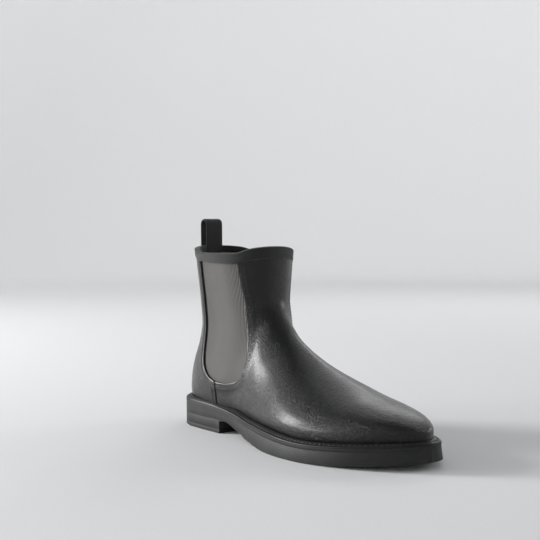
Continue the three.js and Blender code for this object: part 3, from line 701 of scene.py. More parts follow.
def add_node(tree, kind, settings=(), **inputs):
    """A shader node; its inputs go by name, or by order as i0, i1 and so on."""
    node = tree.nodes.new("ShaderNode" + kind)
    for key, value in dict(settings).items():
        setattr(node, key, value)
    for key, value in inputs.items():
        by_order = key[0] == "i" and key[1:].isdigit()
        feed(tree, node.inputs[int(key[1:]) if by_order else key.replace("_", " ")], value)
    return node


def object_place(tree):
    return add_node(tree, "TexCoord").outputs["Object"]


def noise_at(tree, spot, scale, detail, **more):
    return add_node(tree, "TexNoise", Vector=spot, Scale=scale, Detail=detail, **more)


def sums(tree, operation, *terms):
    node = add_node(tree, "Math", {"operation": operation})
    for socket, term in zip(node.inputs, terms):
        feed(tree, socket, term)
    return node.outputs[0]


def between(tree, value, low, high, to_low=0.0, to_high=1.0):
    node = add_node(tree, "MapRange", {"interpolation_type": "SMOOTHSTEP"}, Value=value)
    for index, number in zip((1, 2, 3, 4), (low, high, to_low, to_high)):
        node.inputs[index].default_value = number
    return node.outputs["Result"]


def blend_colours(tree, share, first, second):
    return add_node(tree, "Mix", {"data_type": "RGBA"}, i0=share, i6=first, i7=second).outputs[2]


def grey(value, warm=0.0):
    return (value * (1 + warm), value, value * (1 - warm), 1)


def new_group(name, inputs, outputs):
    group = bpy.data.node_groups.new(name, "ShaderNodeTree")
    for label, default in inputs.items():
        made = group.interface.new_socket(label, in_out="INPUT", socket_type="NodeSocketFloat")
        made.default_value = default
    for label in outputs:
        group.interface.new_socket(label, in_out="OUTPUT", socket_type="NodeSocketFloat")
    return group, group.nodes.new("NodeGroupInput"), group.nodes.new("NodeGroupOutput")


def leather_grain_group():
    """Fine closed cells with pores between them, and the longer wrinkles of the hide."""
    group, given, out = new_group("fine_leather_grain", {"Cells": 900, "Wrinkles": 60},
                                  ("Height", "Pores", "Wrinkle"))
    spot = object_place(group)
    size = given.outputs["Cells"]
    drift = noise_at(group, spot, 420, 2).outputs["Color"]
    shifted = add_node(group, "VectorMath", {"operation": "MULTIPLY_ADD"},
                       i0=drift, i1=(0.0009, 0.0009, 0.0009), i2=spot).outputs[0]
    cells = add_node(group, "TexVoronoi", {"feature": "DISTANCE_TO_EDGE"},
                     Vector=shifted, Scale=size, Randomness=0.85)
    pebble = between(group, cells.outputs["Distance"], 0.0, 0.32)
    broad = add_node(group, "TexVoronoi", {"feature": "SMOOTH_F1"}, Randomness=1.0,
                     Vector=shifted, Scale=sums(group, "MULTIPLY", size, 0.55))
    fine = noise_at(group, spot, 2600, 3).outputs["Fac"]
    folds = noise_at(group, spot, given.outputs["Wrinkles"], 3, Distortion=0.7)
    uneven = sums(group, "MULTIPLY", fine, 0.35)
    raised = sums(group, "MULTIPLY_ADD", broad.outputs["Distance"], -1.6, pebble)
    group.links.new(sums(group, "ADD", raised, uneven), out.inputs["Height"])
    group.links.new(sums(group, "SUBTRACT", 1.0, pebble), out.inputs["Pores"])
    group.links.new(folds.outputs["Fac"], out.inputs["Wrinkle"])
    return group


def wear_group():
    """Where hands and floor have touched: broad cloudy patches and short scuffs."""
    group, given, out = new_group("handling_wear", {"Size": 30, "Scuffs": 160},
                                  ("Patches", "Scuffs"))
    spot = object_place(group)
    cloudy = noise_at(group, spot, given.outputs["Size"], 4, Roughness=0.6)
    stretched = add_node(group, "Mapping", Vector=spot, Scale=(1, 1, 5), Rotation=(0.3, 0.2, 0.5))
    lines = noise_at(group, stretched.outputs[0], given.outputs["Scuffs"], 5, Roughness=0.75)
    group.links.new(between(group, cloudy.outputs["Fac"], 0.35, 0.7), out.inputs["Patches"])
    group.links.new(between(group, lines.outputs["Fac"], 0.6, 0.72), out.inputs["Scuffs"])
    return group


def weave_group():
    """Over-and-under yarns on the flat coordinate, which is in millimetres."""
    group, given, out = new_group("plain_weave", {"Pitch": 0.6}, ("Height", "Over"))
    flat = add_node(group, "UVMap", {"uv_map": "flat"}).outputs["UV"]
    axes = add_node(group, "SeparateXYZ", Vector=flat)
    turn = sums(group, "DIVIDE", math.pi, given.outputs["Pitch"])
    warp = sums(group, "SINE", sums(group, "MULTIPLY", axes.outputs["X"], turn))
    weft = sums(group, "SINE", sums(group, "MULTIPLY", axes.outputs["Y"], turn))
    over = sums(group, "MULTIPLY", warp, weft)
    group.links.new(sums(group, "ABSOLUTE", over), out.inputs["Height"])
    group.links.new(between(group, over, -0.6, 0.6), out.inputs["Over"])
    return group


GRAIN = leather_grain_group()
WEAR = wear_group()
WEAVE = weave_group()


class Finish:
    """One material, whose colour, roughness and relief nodes feed a Principled shader."""

    def __init__(self, name, **fixed):
        self.material = bpy.data.materials.new(name)
        self.material.use_nodes = True
        self.tree = self.material.node_tree
        self.tree.nodes.clear()
        self.shader = add_node(self.tree, "BsdfPrincipled")
        out = add_node(self.tree, "OutputMaterial")
        self.tree.links.new(self.shader.outputs[0], out.inputs["Surface"])
        for label, value in fixed.items():
            self.shader.inputs[label.replace("_", " ")].default_value = value
        self.normal = None

    def group(self, group, **values):
        node = add_node(self.tree, "Group", {"node_tree": group})
        for label, value in values.items():
            node.inputs[label].default_value = value
        return node.outputs

    def noise(self, scale, detail=3, stretch=None):
        spot = object_place(self.tree)
        if stretch:
            spot = add_node(self.tree, "Mapping", Vector=spot, Scale=stretch).outputs[0]
        return noise_at(self.tree, spot, scale, detail).outputs["Fac"]

    def colour(self, value):
        self.tree.links.new(value, self.shader.inputs["Base Color"])

    def rough(self, value):
        self.tree.links.new(value, self.shader.inputs["Roughness"])

    def relief(self, height, millimetres, strength=1.0):
        bump_node = add_node(self.tree, "Bump", Height=height, Strength=strength,
                             Distance=millimetres / 1000)
        if self.normal:
            self.tree.links.new(self.normal, bump_node.inputs["Normal"])
        self.normal = bump_node.outputs[0]
        self.tree.links.new(self.normal, self.shader.inputs["Normal"])

    def shade(self, share, dark, light):
        self.colour(blend_colours(self.tree, share, dark, light))


def leather_finish(name, dark, light, cells, gloss, coat=0.3):
    made = Finish(name, Specular_IOR_Level=0.26, Coat_Weight=coat, Coat_Roughness=0.26,
                  Coat_IOR=1.4)
    tree = made.tree
    grain = made.group(GRAIN, Cells=cells)
    wear = made.group(WEAR)
    cloudy = blend_colours(tree, wear["Patches"], dark, light)
    pores = sums(tree, "MULTIPLY", grain["Pores"], 0.6)
    made.colour(blend_colours(tree, pores, cloudy, grey(0.004)))
    uneven = between(tree, wear["Patches"], 0, 1, gloss - 0.04, gloss + 0.05)
    made.rough(sums(tree, "ADD", uneven, sums(tree, "MULTIPLY", grain["Pores"], 0.12)))
    made.relief(grain["Wrinkle"], 0.5, 0.4)
    made.relief(grain["Height"], 0.18, 1.0)
    return made.material


def elastic_finish():
    """Ribbed elastic: grey cover yarns round each rib, with painted shade in the rib valleys and
    yarn dips.
    """
    made = Finish("ribbed_elastic", Specular_IOR_Level=0.35, Sheen_Weight=0.25,
                  Sheen_Roughness=0.45)
    tree = made.tree
    axes = add_node(tree, "SeparateXYZ", Vector=object_place(tree))
    across = sums(tree, "MULTIPLY_ADD", axes.outputs["X"], 1000 / RIB_PITCH,
                  HEEL_CENTRE / RIB_PITCH)
    crest = sums(tree, "COSINE", sums(tree, "MULTIPLY", across, 2 * math.pi))
    upward = sums(tree, "MULTIPLY_ADD", axes.outputs["Z"], 2 * math.pi * 1000 / YARN_PITCH,
                  sums(tree, "MULTIPLY", across, math.pi))
    yarn = sums(tree, "SINE", upward)
    fuzz = made.noise(1900, 4)
    # Painted shade: the colour darkens in each rib's valley and in each yarn dip, in step with the
    # ribs' relief.
    painted_rib_shade = between(tree, crest, -1, 0.7, 0.2, 1)
    tone = sums(tree, "MULTIPLY", painted_rib_shade, sums(tree, "MULTIPLY_ADD", yarn, 0.12, 0.8))
    tone = sums(tree, "ADD", tone, sums(tree, "MULTIPLY_ADD", fuzz, 0.35, -0.17))
    made.shade(tone, grey(0.05, 0.06), grey(0.25, 0.05))
    made.rough(between(tree, fuzz, 0.3, 0.7, 0.68, 0.86))
    made.relief(sums(tree, "ADD", yarn, fuzz), 0.1, 0.7)
    return made.material


def thread_finish(name, dark, light):
    made = Finish(name, Specular_IOR_Level=0.45)
    twist = made.noise(1500, 2, (1, 0.5, 1.6))
    made.shade(between(made.tree, twist, 0.35, 0.65), dark, light)
    made.rough(between(made.tree, twist, 0.3, 0.7, 0.42, 0.62))
    made.relief(twist, 0.12, 0.8)
    return made.material


def rubber_finish(name, dark, light, rough):
    """Moulded rubber: a matt skin with tiny pits, greyed where it scuffs."""
    made = Finish(name, Specular_IOR_Level=0.3)
    tree = made.tree
    wear = made.group(WEAR, Size=55, Scuffs=240)
    speck = made.noise(1400, 5)
    tone = sums(tree, "ADD", sums(tree, "MULTIPLY", wear["Patches"], 0.6),
                sums(tree, "MULTIPLY", wear["Scuffs"], 0.5))
    made.shade(tone, dark, light)
    made.rough(sums(tree, "ADD", between(tree, speck, 0.3, 0.7, rough - 0.05, rough + 0.06),
                    sums(tree, "MULTIPLY", wear["Scuffs"], 0.08)))
    made.relief(speck, 0.07, 0.6)
    made.relief(wear["Scuffs"], 0.05, 0.4)
    return made.material


def web_finish(name, dark, light, pitch):
    made = Finish(name, Specular_IOR_Level=0.35, Sheen_Weight=0.2, Sheen_Roughness=0.5)
    tree = made.tree
    weave = made.group(WEAVE, Pitch=pitch)
    fuzz = made.noise(2200, 4)
    # Painted shade: the colour follows the weave's height, darker where the yarns dip, with random
    # fuzz on top.
    tone = sums(tree, "MULTIPLY", weave["Height"], sums(tree, "MULTIPLY_ADD", fuzz, 0.6, 0.5))
    made.shade(tone, dark, light)
    made.rough(between(tree, fuzz, 0.3, 0.7, 0.7, 0.88))
    made.relief(weave["Height"], 0.14, 0.9)
    made.relief(fuzz, 0.06, 0.6)
    return made.material


def plain_finish(name, dark, light, scale, rough, depth, metallic=0.0, stretch=None):
    """A lesser finish: two tones of one material, with its own roughness and relief."""
    made = Finish(name, Metallic=metallic)
    speck = made.noise(scale, 5, stretch)
    made.shade(between(made.tree, speck, 0.35, 0.65), dark, light)
    made.rough(between(made.tree, speck, 0.3, 0.7, rough - 0.08, rough + 0.08))
    made.relief(speck, depth, 0.7)
    return made.material


black_calf = leather_finish("black_calf", grey(0.0035), grey(0.006), 900, 0.3)
black_facing = leather_finish("black_calf_strip", grey(0.009), grey(0.013), 1100, 0.44, 0.2)
lining_leather = leather_finish("lining_leather", (0.26, 0.17, 0.095, 1),
                                (0.34, 0.235, 0.14, 1), 700, 0.6, 0.0)
sock_leather = leather_finish("sock_leather", (0.29, 0.19, 0.105, 1),
                              (0.37, 0.255, 0.15, 1), 800, 0.55, 0.0)
grey_elastic = elastic_finish()
black_thread = thread_finish("black_thread", grey(0.006), grey(0.02))
welt_thread = thread_finish("welt_thread", grey(0.01), grey(0.032))
black_binding = web_finish("black_binding_tape", grey(0.008), grey(0.024), 0.35)
black_webbing = web_finish("black_webbing", grey(0.007), grey(0.03), 0.75)
black_welt = rubber_finish("black_welt", grey(0.009), grey(0.018), 0.44)
charcoal_rubber = rubber_finish("charcoal_rubber", grey(0.012), grey(0.023), 0.6)
stiff_board = plain_finish("stiffener_board", (0.33, 0.24, 0.15, 1), (0.45, 0.34, 0.22, 1),
                           260, 0.75, 0.1)
interlining_cloth = plain_finish("interlining_cloth", grey(0.5, 0.05), grey(0.66, 0.04),
                                 900, 0.85, 0.15)
insole_board = plain_finish("insole_board", (0.32, 0.21, 0.11, 1), (0.44, 0.3, 0.17, 1),
                            420, 0.78, 0.1)
spring_steel = plain_finish("spring_steel", grey(0.32), grey(0.48), 300, 0.34, 0.02, 1.0,
                            (1, 12, 12))
cork = plain_finish("granulated_cork", (0.18, 0.1, 0.045, 1), (0.5, 0.31, 0.16, 1), 520, 0.85, 0.3)
nail_steel = plain_finish("nail_steel", grey(0.4, 0.1), grey(0.6, 0.06), 900, 0.32, 0.03, 1.0)

for node_name, material in {
        "toe_puff": stiff_board, "vamp_interlining": interlining_cloth, "heel_counter": stiff_board,
        "insole": insole_board, "shank": spring_steel, "cork_filler": cork,
        **{f"heel_nail_{i}": nail_steel for i in range(1, 6)}}.items():
    for slot in bpy.data.objects[node_name].material_slots:
        slot.material = material


# ---- The leather and lining panels.
def gusset_line(offset, spacing=1.6):
    """The gusset's edge moved outwards by offset."""
    edge = along_path(gusset_edge(0), spacing)
    tangent = unit(np.gradient(edge, axis=0))
    return edge + np.column_stack([tangent[:, 1], -tangent[:, 0]]) * offset


ROW_OFFSETS = (0.45, 0.95, 1.5, 1.85, 2.2, 2.55, 3.1, 3.75, 4.2, 4.65, 5.3, 6, 6.7, 7.4, 8.2)


def edge_rows(ahead):
    """Lines of points beside the gusset and the side seam, on both sides of the boot."""
    found = []
    for side in SIDES.values():
        for offset in ROW_OFFSETS:
            line = under_collar(gusset_line(offset, 2.0))
            line = line[(line[:, 0] > SIDE_SEAM) == ahead]
            found.append(on_upper(line, side))
        reach = (0.5, 1.1, 2.2) if ahead else (0.5, 1.1, 1.8, 2.2, 2.6, 3.8, 4.2, 4.6)
        for offset in reach:
            x = SIDE_SEAM + (offset if ahead else -offset)
            z = np.arange(feather(x) + 1, GUSSET_BOTTOM - 9, 2.0)
            found.append(on_upper(np.column_stack([np.full(len(z), x), z]), side))
    found = np.vstack(found)
    if not ahead:
        found[:, 0] %= 2 * math.pi
    return found


upper_panel("front_upper_leather", "front_upper", ahead=True, outside=True)
upper_panel("back_quarter_leather", "back_quarter", ahead=False, outside=True)
upper_panel("vamp_lining_leather", "vamp_lining", ahead=True, outside=False)
upper_panel("quarter_lining_leather", "quarter_lining", ahead=False, outside=False)


# ---- Elastic gussets, with real ribs.
def gusset_columns():
    edge = gusset_edge(7)
    lowest = edge[:, 1].argmin()
    rear, front = edge[:lowest + 1], edge[lowest:]
    turn = front[:, 0].argmax()
    xs = np.arange(rear[:, 0].min() + 0.1, front[turn, 0] - 0.05, RIB_PITCH / 6)
    back_turn = rear[:, 0].argmin()
    low = np.where(xs < edge[lowest, 0],
                   np.interp(xs, rear[back_turn:, 0], rear[back_turn:, 1]),
                   np.interp(xs, front[:turn + 1, 0], front[:turn + 1, 1]))
    rear_top = np.interp(xs, rear[:back_turn + 1][::-1][:, 0], rear[:back_turn + 1][::-1][:, 1])
    front_top = np.interp(xs, front[turn:][::-1][:, 0], front[turn:][::-1][:, 1])
    high = np.minimum(np.minimum(rear_top, front_top), collar_z(xs) - 0.3)
    return xs, low, np.maximum(high, low + 0.4)


def gusset(word, side):
    xs, low, high = gusset_columns()
    rows = 44
    share = np.linspace(0, 1, rows)[:, None]
    x = np.broadcast_to(xs, (rows, len(xs)))
    z = low + (high - low) * share
    base = side_point(x, z, side).reshape(-1, 3)
    normal = upper_normal(base)
    rib = 0.5 + 0.5 * np.cos(2 * math.pi * base[:, 0] / RIB_PITCH)
    outer = base - normal * (ELASTIC_FACE - RIB_RISE * rib**0.7)[:, None]
    inner = base - normal * (ELASTIC_BACK + BACK_RISE * rib**0.7)[:, None]
    points, faces = double_sheet(outer, inner, rows, len(xs))
    if side > 0:
        faces = [face[::-1] for face in faces]
    piece(f"gusset_elastic_{word}", points, faces, grey_elastic, "elastic", [f"gusset_{word}"])


for word, side in SIDES.items():
    gusset(word, side)


# ---- Stitches: one is shaped, then laid again and again along a path.
def stitch_shape():
    bpy.ops.object.select_all(action="DESELECT")
    bpy.ops.mesh.primitive_uv_sphere_add(segments=8, ring_count=6, radius=0.5,
                                         rotation=(0, math.pi / 2, 0))
    made = bpy.context.object
    bpy.ops.object.transform_apply(location=True, rotation=True, scale=True)
    corners = np.array([v.co for v in made.data.vertices])
    corners[:, 0] = np.sign(corners[:, 0]) * 0.5 * np.abs(2 * corners[:, 0]) ** 0.75
    corners[:, 2] -= 0.5 * (2 * np.abs(corners[:, 0])) ** 4
    faces = [list(p.vertices) for p in made.data.polygons]
    bpy.data.objects.remove(made)
    return corners, faces


STITCH, STITCH_FACES = stitch_shape()


def stitch_row(points, normals, pitch, length, thick):
    """Stitches along a line of points on the surface: their corners, ready to be joined."""
    together = along_path(np.hstack([points, normals]), pitch)
    middle = (together[1:, :3] + together[:-1, :3]) / 2
    up = unit(together[1:, 3:] + together[:-1, 3:])
    ahead = unit(together[1:, :3] - together[:-1, :3])
    across = unit(np.cross(up, ahead))
    up = np.cross(ahead, across)
    size = np.array([length, thick, thick])
    shape = STITCH * size
    return (middle[:, None] + shape[None, :, :1] * ahead[:, None]
            + shape[None, :, 1:2] * across[:, None] + shape[None, :, 2:] * up[:, None])


def stitches(name, rows, material, slot, stands_for=()):
    corners = np.vstack(rows)
    size = STITCH.shape[0]
    faces = [[k + i * size for k in face] for i in range(len(corners)) for face in STITCH_FACES]
    return piece(name, corners.reshape(-1, 3), faces, material, slot, stands_for)


def laid_on(points, lift):
    normals = upper_normal(points)
    return points + normals * lift, normals


for word, side in SIDES.items():
    rows = []
    for inset in (STITCH_INSET, STITCH_INSET + STITCH_ROWS):
        line = gusset_line(inset)
        line = line[line[:, 1] < collar_z(line[:, 0]) - BINDING_DEPTH - 1]
        points = side_point(line[:, 0], line[:, 1], side)
        rows.append(stitch_row(*laid_on(points, 0.5), *FINE_STITCH))
    stitches(f"gusset_stitches_{word}", rows, black_thread, "thread", [f"gusset_stitching_{word}"])
    rows = []
    top = GUSSET_BOTTOM - STITCH_INSET - STITCH_ROWS - 2.5
    for x in (SIDE_SEAM - STITCH_INSET, SIDE_SEAM - STITCH_INSET - STITCH_ROWS):
        z = np.linspace(top, feather(x) + 4, 24)
        points = side_point(np.full(len(z), x), z, side)
        rows.append(stitch_row(*laid_on(points, 0.38), *FINE_STITCH))
    xs = np.linspace(SIDE_SEAM - 5.4, SIDE_SEAM + 1.6, 8)
    tack = side_point(xs, np.full(8, top + 1.4), side)
    rows.append(stitch_row(*laid_on(tack, 0.5), *TACK_STITCH))
    stitches(f"seam_stitches_{word}", rows, black_thread, "thread", [f"seam_stitching_{word}"])


# ---- Collar binding: tape folded over the top edge.
PHI_AROUND = np.linspace(0, 2 * math.pi, 260, endpoint=False)


def collar_binding():
    top = upper_point(PHI_AROUND, 1)
    low = upper_point(PHI_AROUND, 1 - BINDING_DEPTH / (COLLAR_HEIGHT - HEEL_HEIGHT))
    top_out, low_out = upper_normal(top), upper_normal(low)
    half = WALL / 2
    profile = []
    for share in (0, 0.06, 0.5, 0.9):
        profile.append((share, -0.35 - (0.45 if 0 < share < 1 else 0), 0))
    for angle in np.linspace(math.pi, 0, 9):
        profile.append((1, half - (half + 0.8) * math.cos(math.pi - angle), 0.9 * math.sin(angle)))
    for share in (0.9, 0.5, 0.06, 0):
        profile.append((share, WALL + 0.35 + (0.45 if 0 < share < 1 else 0), 0))
    profile.append((0.02, WALL + 0.2, 0))
    profile.append((0.95, WALL + 0.2, 0.15))
    profile.append((0.95, -0.2, 0.15))
    profile.append((0.02, -0.2, 0))
    loops = []
    lengths = []
    for share, depth, up in profile:
        normal = unit(mix(low_out, top_out, share))
        loop = mix(low, top, share) - normal * depth
        loop[:, 2] += up
        loops.append(loop)
        lengths.append(BINDING_DEPTH * (share if depth < half else 2 - share))
    columns = len(PHI_AROUND)
    made = piece("collar_tape", np.vstack(loops), ring_faces(len(loops), columns),
                 black_binding, "binding", ["collar_binding"])
    around = np.concatenate([[0], np.cumsum(np.linalg.norm(np.diff(top, axis=0), axis=1))])
    set_uv(made, np.column_stack([np.tile(around, len(loops)), np.repeat(lengths, columns)]))
    face_out(made)
    points = mix(low, top, 0.3)
    normals = unit(mix(low_out, top_out, 0.3))
    points, normals = np.vstack([points, points[:1]]), np.vstack([normals, normals[:1]])
    row = stitch_row(points + normals * 0.78, normals, *COLLAR_STITCH)
    stitches("collar_stitches", [row], black_thread, "thread")


collar_binding()


# ---- Strip over the back seam.
def back_strip():
    z = np.linspace(feather(0) + 4, COLLAR_HEIGHT - BINDING_DEPTH - 1.5, 90)
    across = np.linspace(-0.5, 0.5, 15) * BACK_STRIP_WIDTH
    zz, yy = np.meshgrid(z, across, indexing="ij")
    base = back_point(yy, zz).reshape(-1, 3)
    normal = upper_normal(base)
    edge = np.abs(base[:, 1]) / (BACK_STRIP_WIDTH / 2)
    lift = STRIP_LIFT + BACK_STRIP - 0.55 * smooth((edge - 0.8) / 0.2) + 0.12 * (1 - edge**2)
    outer = base + normal * lift[:, None]
    inner = base + normal * 0.1
    points, faces = double_sheet(outer, inner, len(z), len(across))
    made = piece("back_seam_strip", points, faces, black_facing, "upper_leather", ["back_strip"])
    face_out(made)
    soften(made, 0.2)
    rows = []
    for side in SIDES.values():
        line = back_point(np.full(60, side * (BACK_STRIP_WIDTH / 2 - 1.9)),
                          np.linspace(z[0] + 2, z[-1] - 1, 60))
        rows.append(stitch_row(*laid_on(line, STRIP_LIFT + BACK_STRIP - 0.02), *STRIP_STITCH))
    stitches("back_strip_stitches", rows, black_thread, "thread")


back_strip()


# ---- Pull tab: one length of webbing, sewn outside and inside and looped over the collar.
TWILL_RISE, TWILL_PITCH = 0.07, 2.4
WEB_STEP = 0.9


def pull_tab():
    loop_low, loop_high = unplace(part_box("pull_tab_loop"))
    outer_x, inner_x = loop_low[0] + TAB_WEB / 2, loop_high[0] - TAB_WEB / 2
    radius = (inner_x - outer_x) / 2
    bend_z = loop_high[2] - TAB_WEB / 2 - radius
    tab_base = loop_low[2]
    low_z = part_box("pull_tab_anchor_outer")[0][2] * 1000
    z = np.linspace(low_z, tab_base, 22)
    outer = back_point(np.zeros(22), z)
    outer_web = outer + upper_normal(outer) * (STRIP_LIFT + BACK_STRIP + 3 * GAP + TAB_WEB / 2)
    inner_web = outer - upper_normal(outer) * (WALL + GAP + BINDING + GAP + TAB_WEB / 2)
    settle_in = smooth((z - tab_base + 12) / 12)
    outer_web[:, 0] = mix(outer_web[:, 0], outer_x, settle_in)
    inner_web[:, 0] = mix(inner_web[:, 0], inner_x, settle_in)
    angle = np.linspace(math.pi, 0, 22)
    arc = np.column_stack([(outer_x + inner_x) / 2 + radius * np.cos(angle), np.zeros(22),
                           bend_z + radius * np.sin(angle)])
    line = along_path(np.vstack([outer_web, arc, inner_web[::-1]]), WEB_STEP)
    tangent = unit(np.gradient(line, axis=0))
    outward = np.column_stack([-tangent[:, 2], np.zeros(len(line)), tangent[:, 0]])
    columns = np.linspace(-0.5, 0.5, 17)
    hug = (np.abs(columns) >= 0.5).astype(float)
    length = np.arange(len(line)) * WEB_STEP
    halves = []
    for face_side in (1, -1):
        rows = []
        for i, spot in enumerate(line):
            thick = TAB_WEB / 2 * (1 - 0.75 * hug)
            slant = length[i] + np.abs(columns) * TAB_WIDTH
            twill = TWILL_RISE * np.sin(slant * 2 * math.pi / TWILL_PITCH)
            at = spot + outward[i] * (face_side * (thick + twill * (1 - hug)))[:, None]
            at[:, 1] = columns * TAB_WIDTH
            rows.append(at)
        halves.append(np.vstack(rows))
    points, faces = double_sheet(*halves, len(line), len(columns))
    made = piece("pull_tab_webbing", points, faces, black_webbing, "webbing", body=None,
                 stands_for=["pull_tab_loop", "pull_tab_anchor_outer", "pull_tab_anchor_inner"])
    set_uv(made, np.tile(np.column_stack([np.tile(columns * TAB_WIDTH, len(line)),
                                          np.repeat(length, len(columns))]), (2, 1)))
    face_out(made)
    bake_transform(made)


pull_tab()


# ---- Sole pieces: a flat grid is moved onto the sole's outline, then extruded and bevelled.
foot_spread = (TOE_END - HEEL_END) / 2


def rim(phi, inset):
    """The point of the inset sole outline seen at angle phi."""
    full = 2 * math.pi

    def at(moved):
        edge = outline + outline_inward * moved
        ahead = (edge[:, 0] - ray_centre(0)) / foot_spread
        angle = np.arctan2(edge[:, 1] / ray_spread(0), ahead) % full
        order = np.argsort(angle)
        return np.column_stack([np.interp(phi % full, angle[order], edge[order, k], period=full)
                                for k in (0, 1)])
    return at(0) + (at(1) - at(0)) * np.reshape(inset, (-1, 1))


def width_at(x, inset):
    """The lateral and medial edges of the inset outline at x."""
    edge = outline + outline_inward * inset
    turned = np.roll(edge, -edge[:, 0].argmin(), 0)
    last = turned[:, 0].argmax()
    low = turned[:last + 1]
    high = np.vstack([turned[last:], turned[:1]])[::-1]
    return np.interp(x, *low.T), np.interp(x, *high.T), turned[0, 0], turned[last, 0]


def grid_on_outline(inset, x_end, stations, columns, height):
    """A grid primitive whose corners are moved onto the outline, at height(x)."""
    _, _, x_low, x_high = width_at(0, inset)
    straight = x_end is not None and x_end < x_high
    last = x_end if straight else x_high
    if straight:
        x = x_low + (last - x_low) * (1 - np.cos(np.linspace(0, math.pi / 2, stations)))
    else:
        x = x_low + (last - x_low) * (0.5 - 0.5 * np.cos(np.linspace(0, math.pi, stations)))
    low, high, _, _ = width_at(x, inset)
    bpy.ops.object.select_all(action="DESELECT")
    bpy.ops.mesh.primitive_grid_add(x_subdivisions=stations - 1, y_subdivisions=columns - 1,
                                    size=2)
    made = bpy.context.object
    corners = np.array([v.co for v in made.data.vertices])
    station = np.rint((corners[:, 0] + 1) / 2 * (stations - 1)).astype(int)
    share = np.sin(corners[:, 1] * math.pi / 2) * 0.5 + 0.5
    across = mix(low[station], high[station], share)
    moved = np.column_stack([x[station], across, height(x[station])])
    made.data.vertices.foreach_set("co", place(moved).ravel())
    made.data.update()
    return made


def edit(made):
    only(made)
    bpy.ops.object.mode_set(mode="EDIT")


def leave():
    bpy.ops.object.mode_set(mode="OBJECT")


def corners_of(made):
    corners = np.empty(len(made.data.vertices) * 3)
    made.data.vertices.foreach_get("co", corners)
    return corners.reshape(-1, 3)


def drop_wall(made, sideways, heights):
    """Extrudes the selected face down through rows; sideways(points, row) moves each row out."""
    for row, height in enumerate(heights):
        edit(made)
        bpy.ops.mesh.extrude_region_move()
        leave()
        chosen = np.array([v.select for v in made.data.vertices])
        corners = corners_of(made)
        flat = sideways(unplace(corners[chosen]), row)
        flat[:, 2] = height(flat[:, 0])
        corners[chosen] = place(flat)
        made.data.vertices.foreach_set("co", corners.ravel())
        made.data.update()


def sole_piece(name, material, slot, node, inset, x_end, top, rows, columns=22, stations=190,
               edge=0.35, tread=None):
    """A plate: its top lies at top(x), and each row gives a height and how far it stands proud."""
    made = grid_on_outline(inset, x_end, stations, columns, top)
    made.name = name
    made.data.name = name
    edit(made)
    bpy.ops.mesh.select_all(action="SELECT")
    bpy.ops.mesh.remove_doubles(threshold=1e-6)
    leave()
    proud = [row[1] for row in rows]
    before = [0] + proud[:-1]

    def sideways(flat, row):
        """Moves a row's outer points out or in, in front of the heel."""
        step = proud[row] - before[row]
        if not step:
            return flat
        low, high, _, _ = width_at(flat[:, 0], inset)
        half = np.maximum((high - low) / 2, 1)
        on_edge = np.clip(np.abs(flat[:, 1] - (low + high) / 2) / half, 0, 1) ** 8
        away = unit(np.column_stack([flat[:, 0] - np.clip(flat[:, 0], 30, 270),
                                     flat[:, 1] - centre_line(flat[:, 0])]))
        flat[:, :2] += away * (step * on_edge * smooth((flat[:, 0] - HEEL_BREAST) / 90))[:, None]
        return flat

    drop_wall(made, sideways, [row[0] for row in rows])
    if tread:
        edit(made)
        bpy.ops.mesh.select_mode(type="FACE")
        bpy.ops.mesh.select_all(action="DESELECT")
        leave()
        for polygon in made.data.polygons:
            polygon.select = polygon.normal.z < -0.8 and tread(unplace(polygon.center))
        edit(made)
        bpy.ops.mesh.inset(use_individual=True, thickness=TREAD_RIB / 1000,
                           depth=-TREAD_CUT / 1000)
        leave()
    face_out(made)
    made.data.materials.clear()
    made.data.materials.append(material)
    soften(made, edge, 48)
    finish_piece(made, slot, [node])


def level(height):
    return lambda x: np.full(np.shape(x), float(height))


def off(curve_of, by):
    return lambda x: curve_of(x) + by


def tread(x_low, x_high, margin):
    """Tells whether a face of the underside lies between two stations, clear of the edge."""
    def covers(centre):
        x, y, _ = centre
        low, high, _, _ = width_at(x, margin)
        return x_low < x < x_high and low < y < high
    return covers


def tread_bottom(x):
    """The waist is a little thinner than the tread that starts in front of it."""
    waist = smooth((x - HEEL_BREAST - 2) / 8) * (1 - smooth((x - TREAD_START) / 2.5))
    return sole_bottom(x) + WAIST_STEP * waist


def side_line(share):
    return lambda x: mix(sole_top(x), tread_bottom(x), share)


sole_piece("outsole_rubber", charcoal_rubber, "sole_rubber", "outsole", 0, None, sole_top,
           [(side_line(0.16), 0.0), (side_line(0.2), -0.3), (side_line(0.24), 0.0),
            (side_line(0.6), 0.5), (tread_bottom, 1.2)], tread=tread(135, 288, 7))
sole_piece("heel_block_rubber", charcoal_rubber, "sole_rubber", "heel_block", -0.03, HEEL_BREAST,
           level(HEEL_SEAT + 0.9), [(level(TOP_LIFT + GAP), 0.0)], stations=90, edge=0.06)
sole_piece("top_lift_rubber", charcoal_rubber, "sole_rubber", "top_lift", 0, HEEL_BREAST,
           level(TOP_LIFT), [(level(0), 0.0)], stations=90, tread=tread(8, HEEL_BREAST - 6, 6))


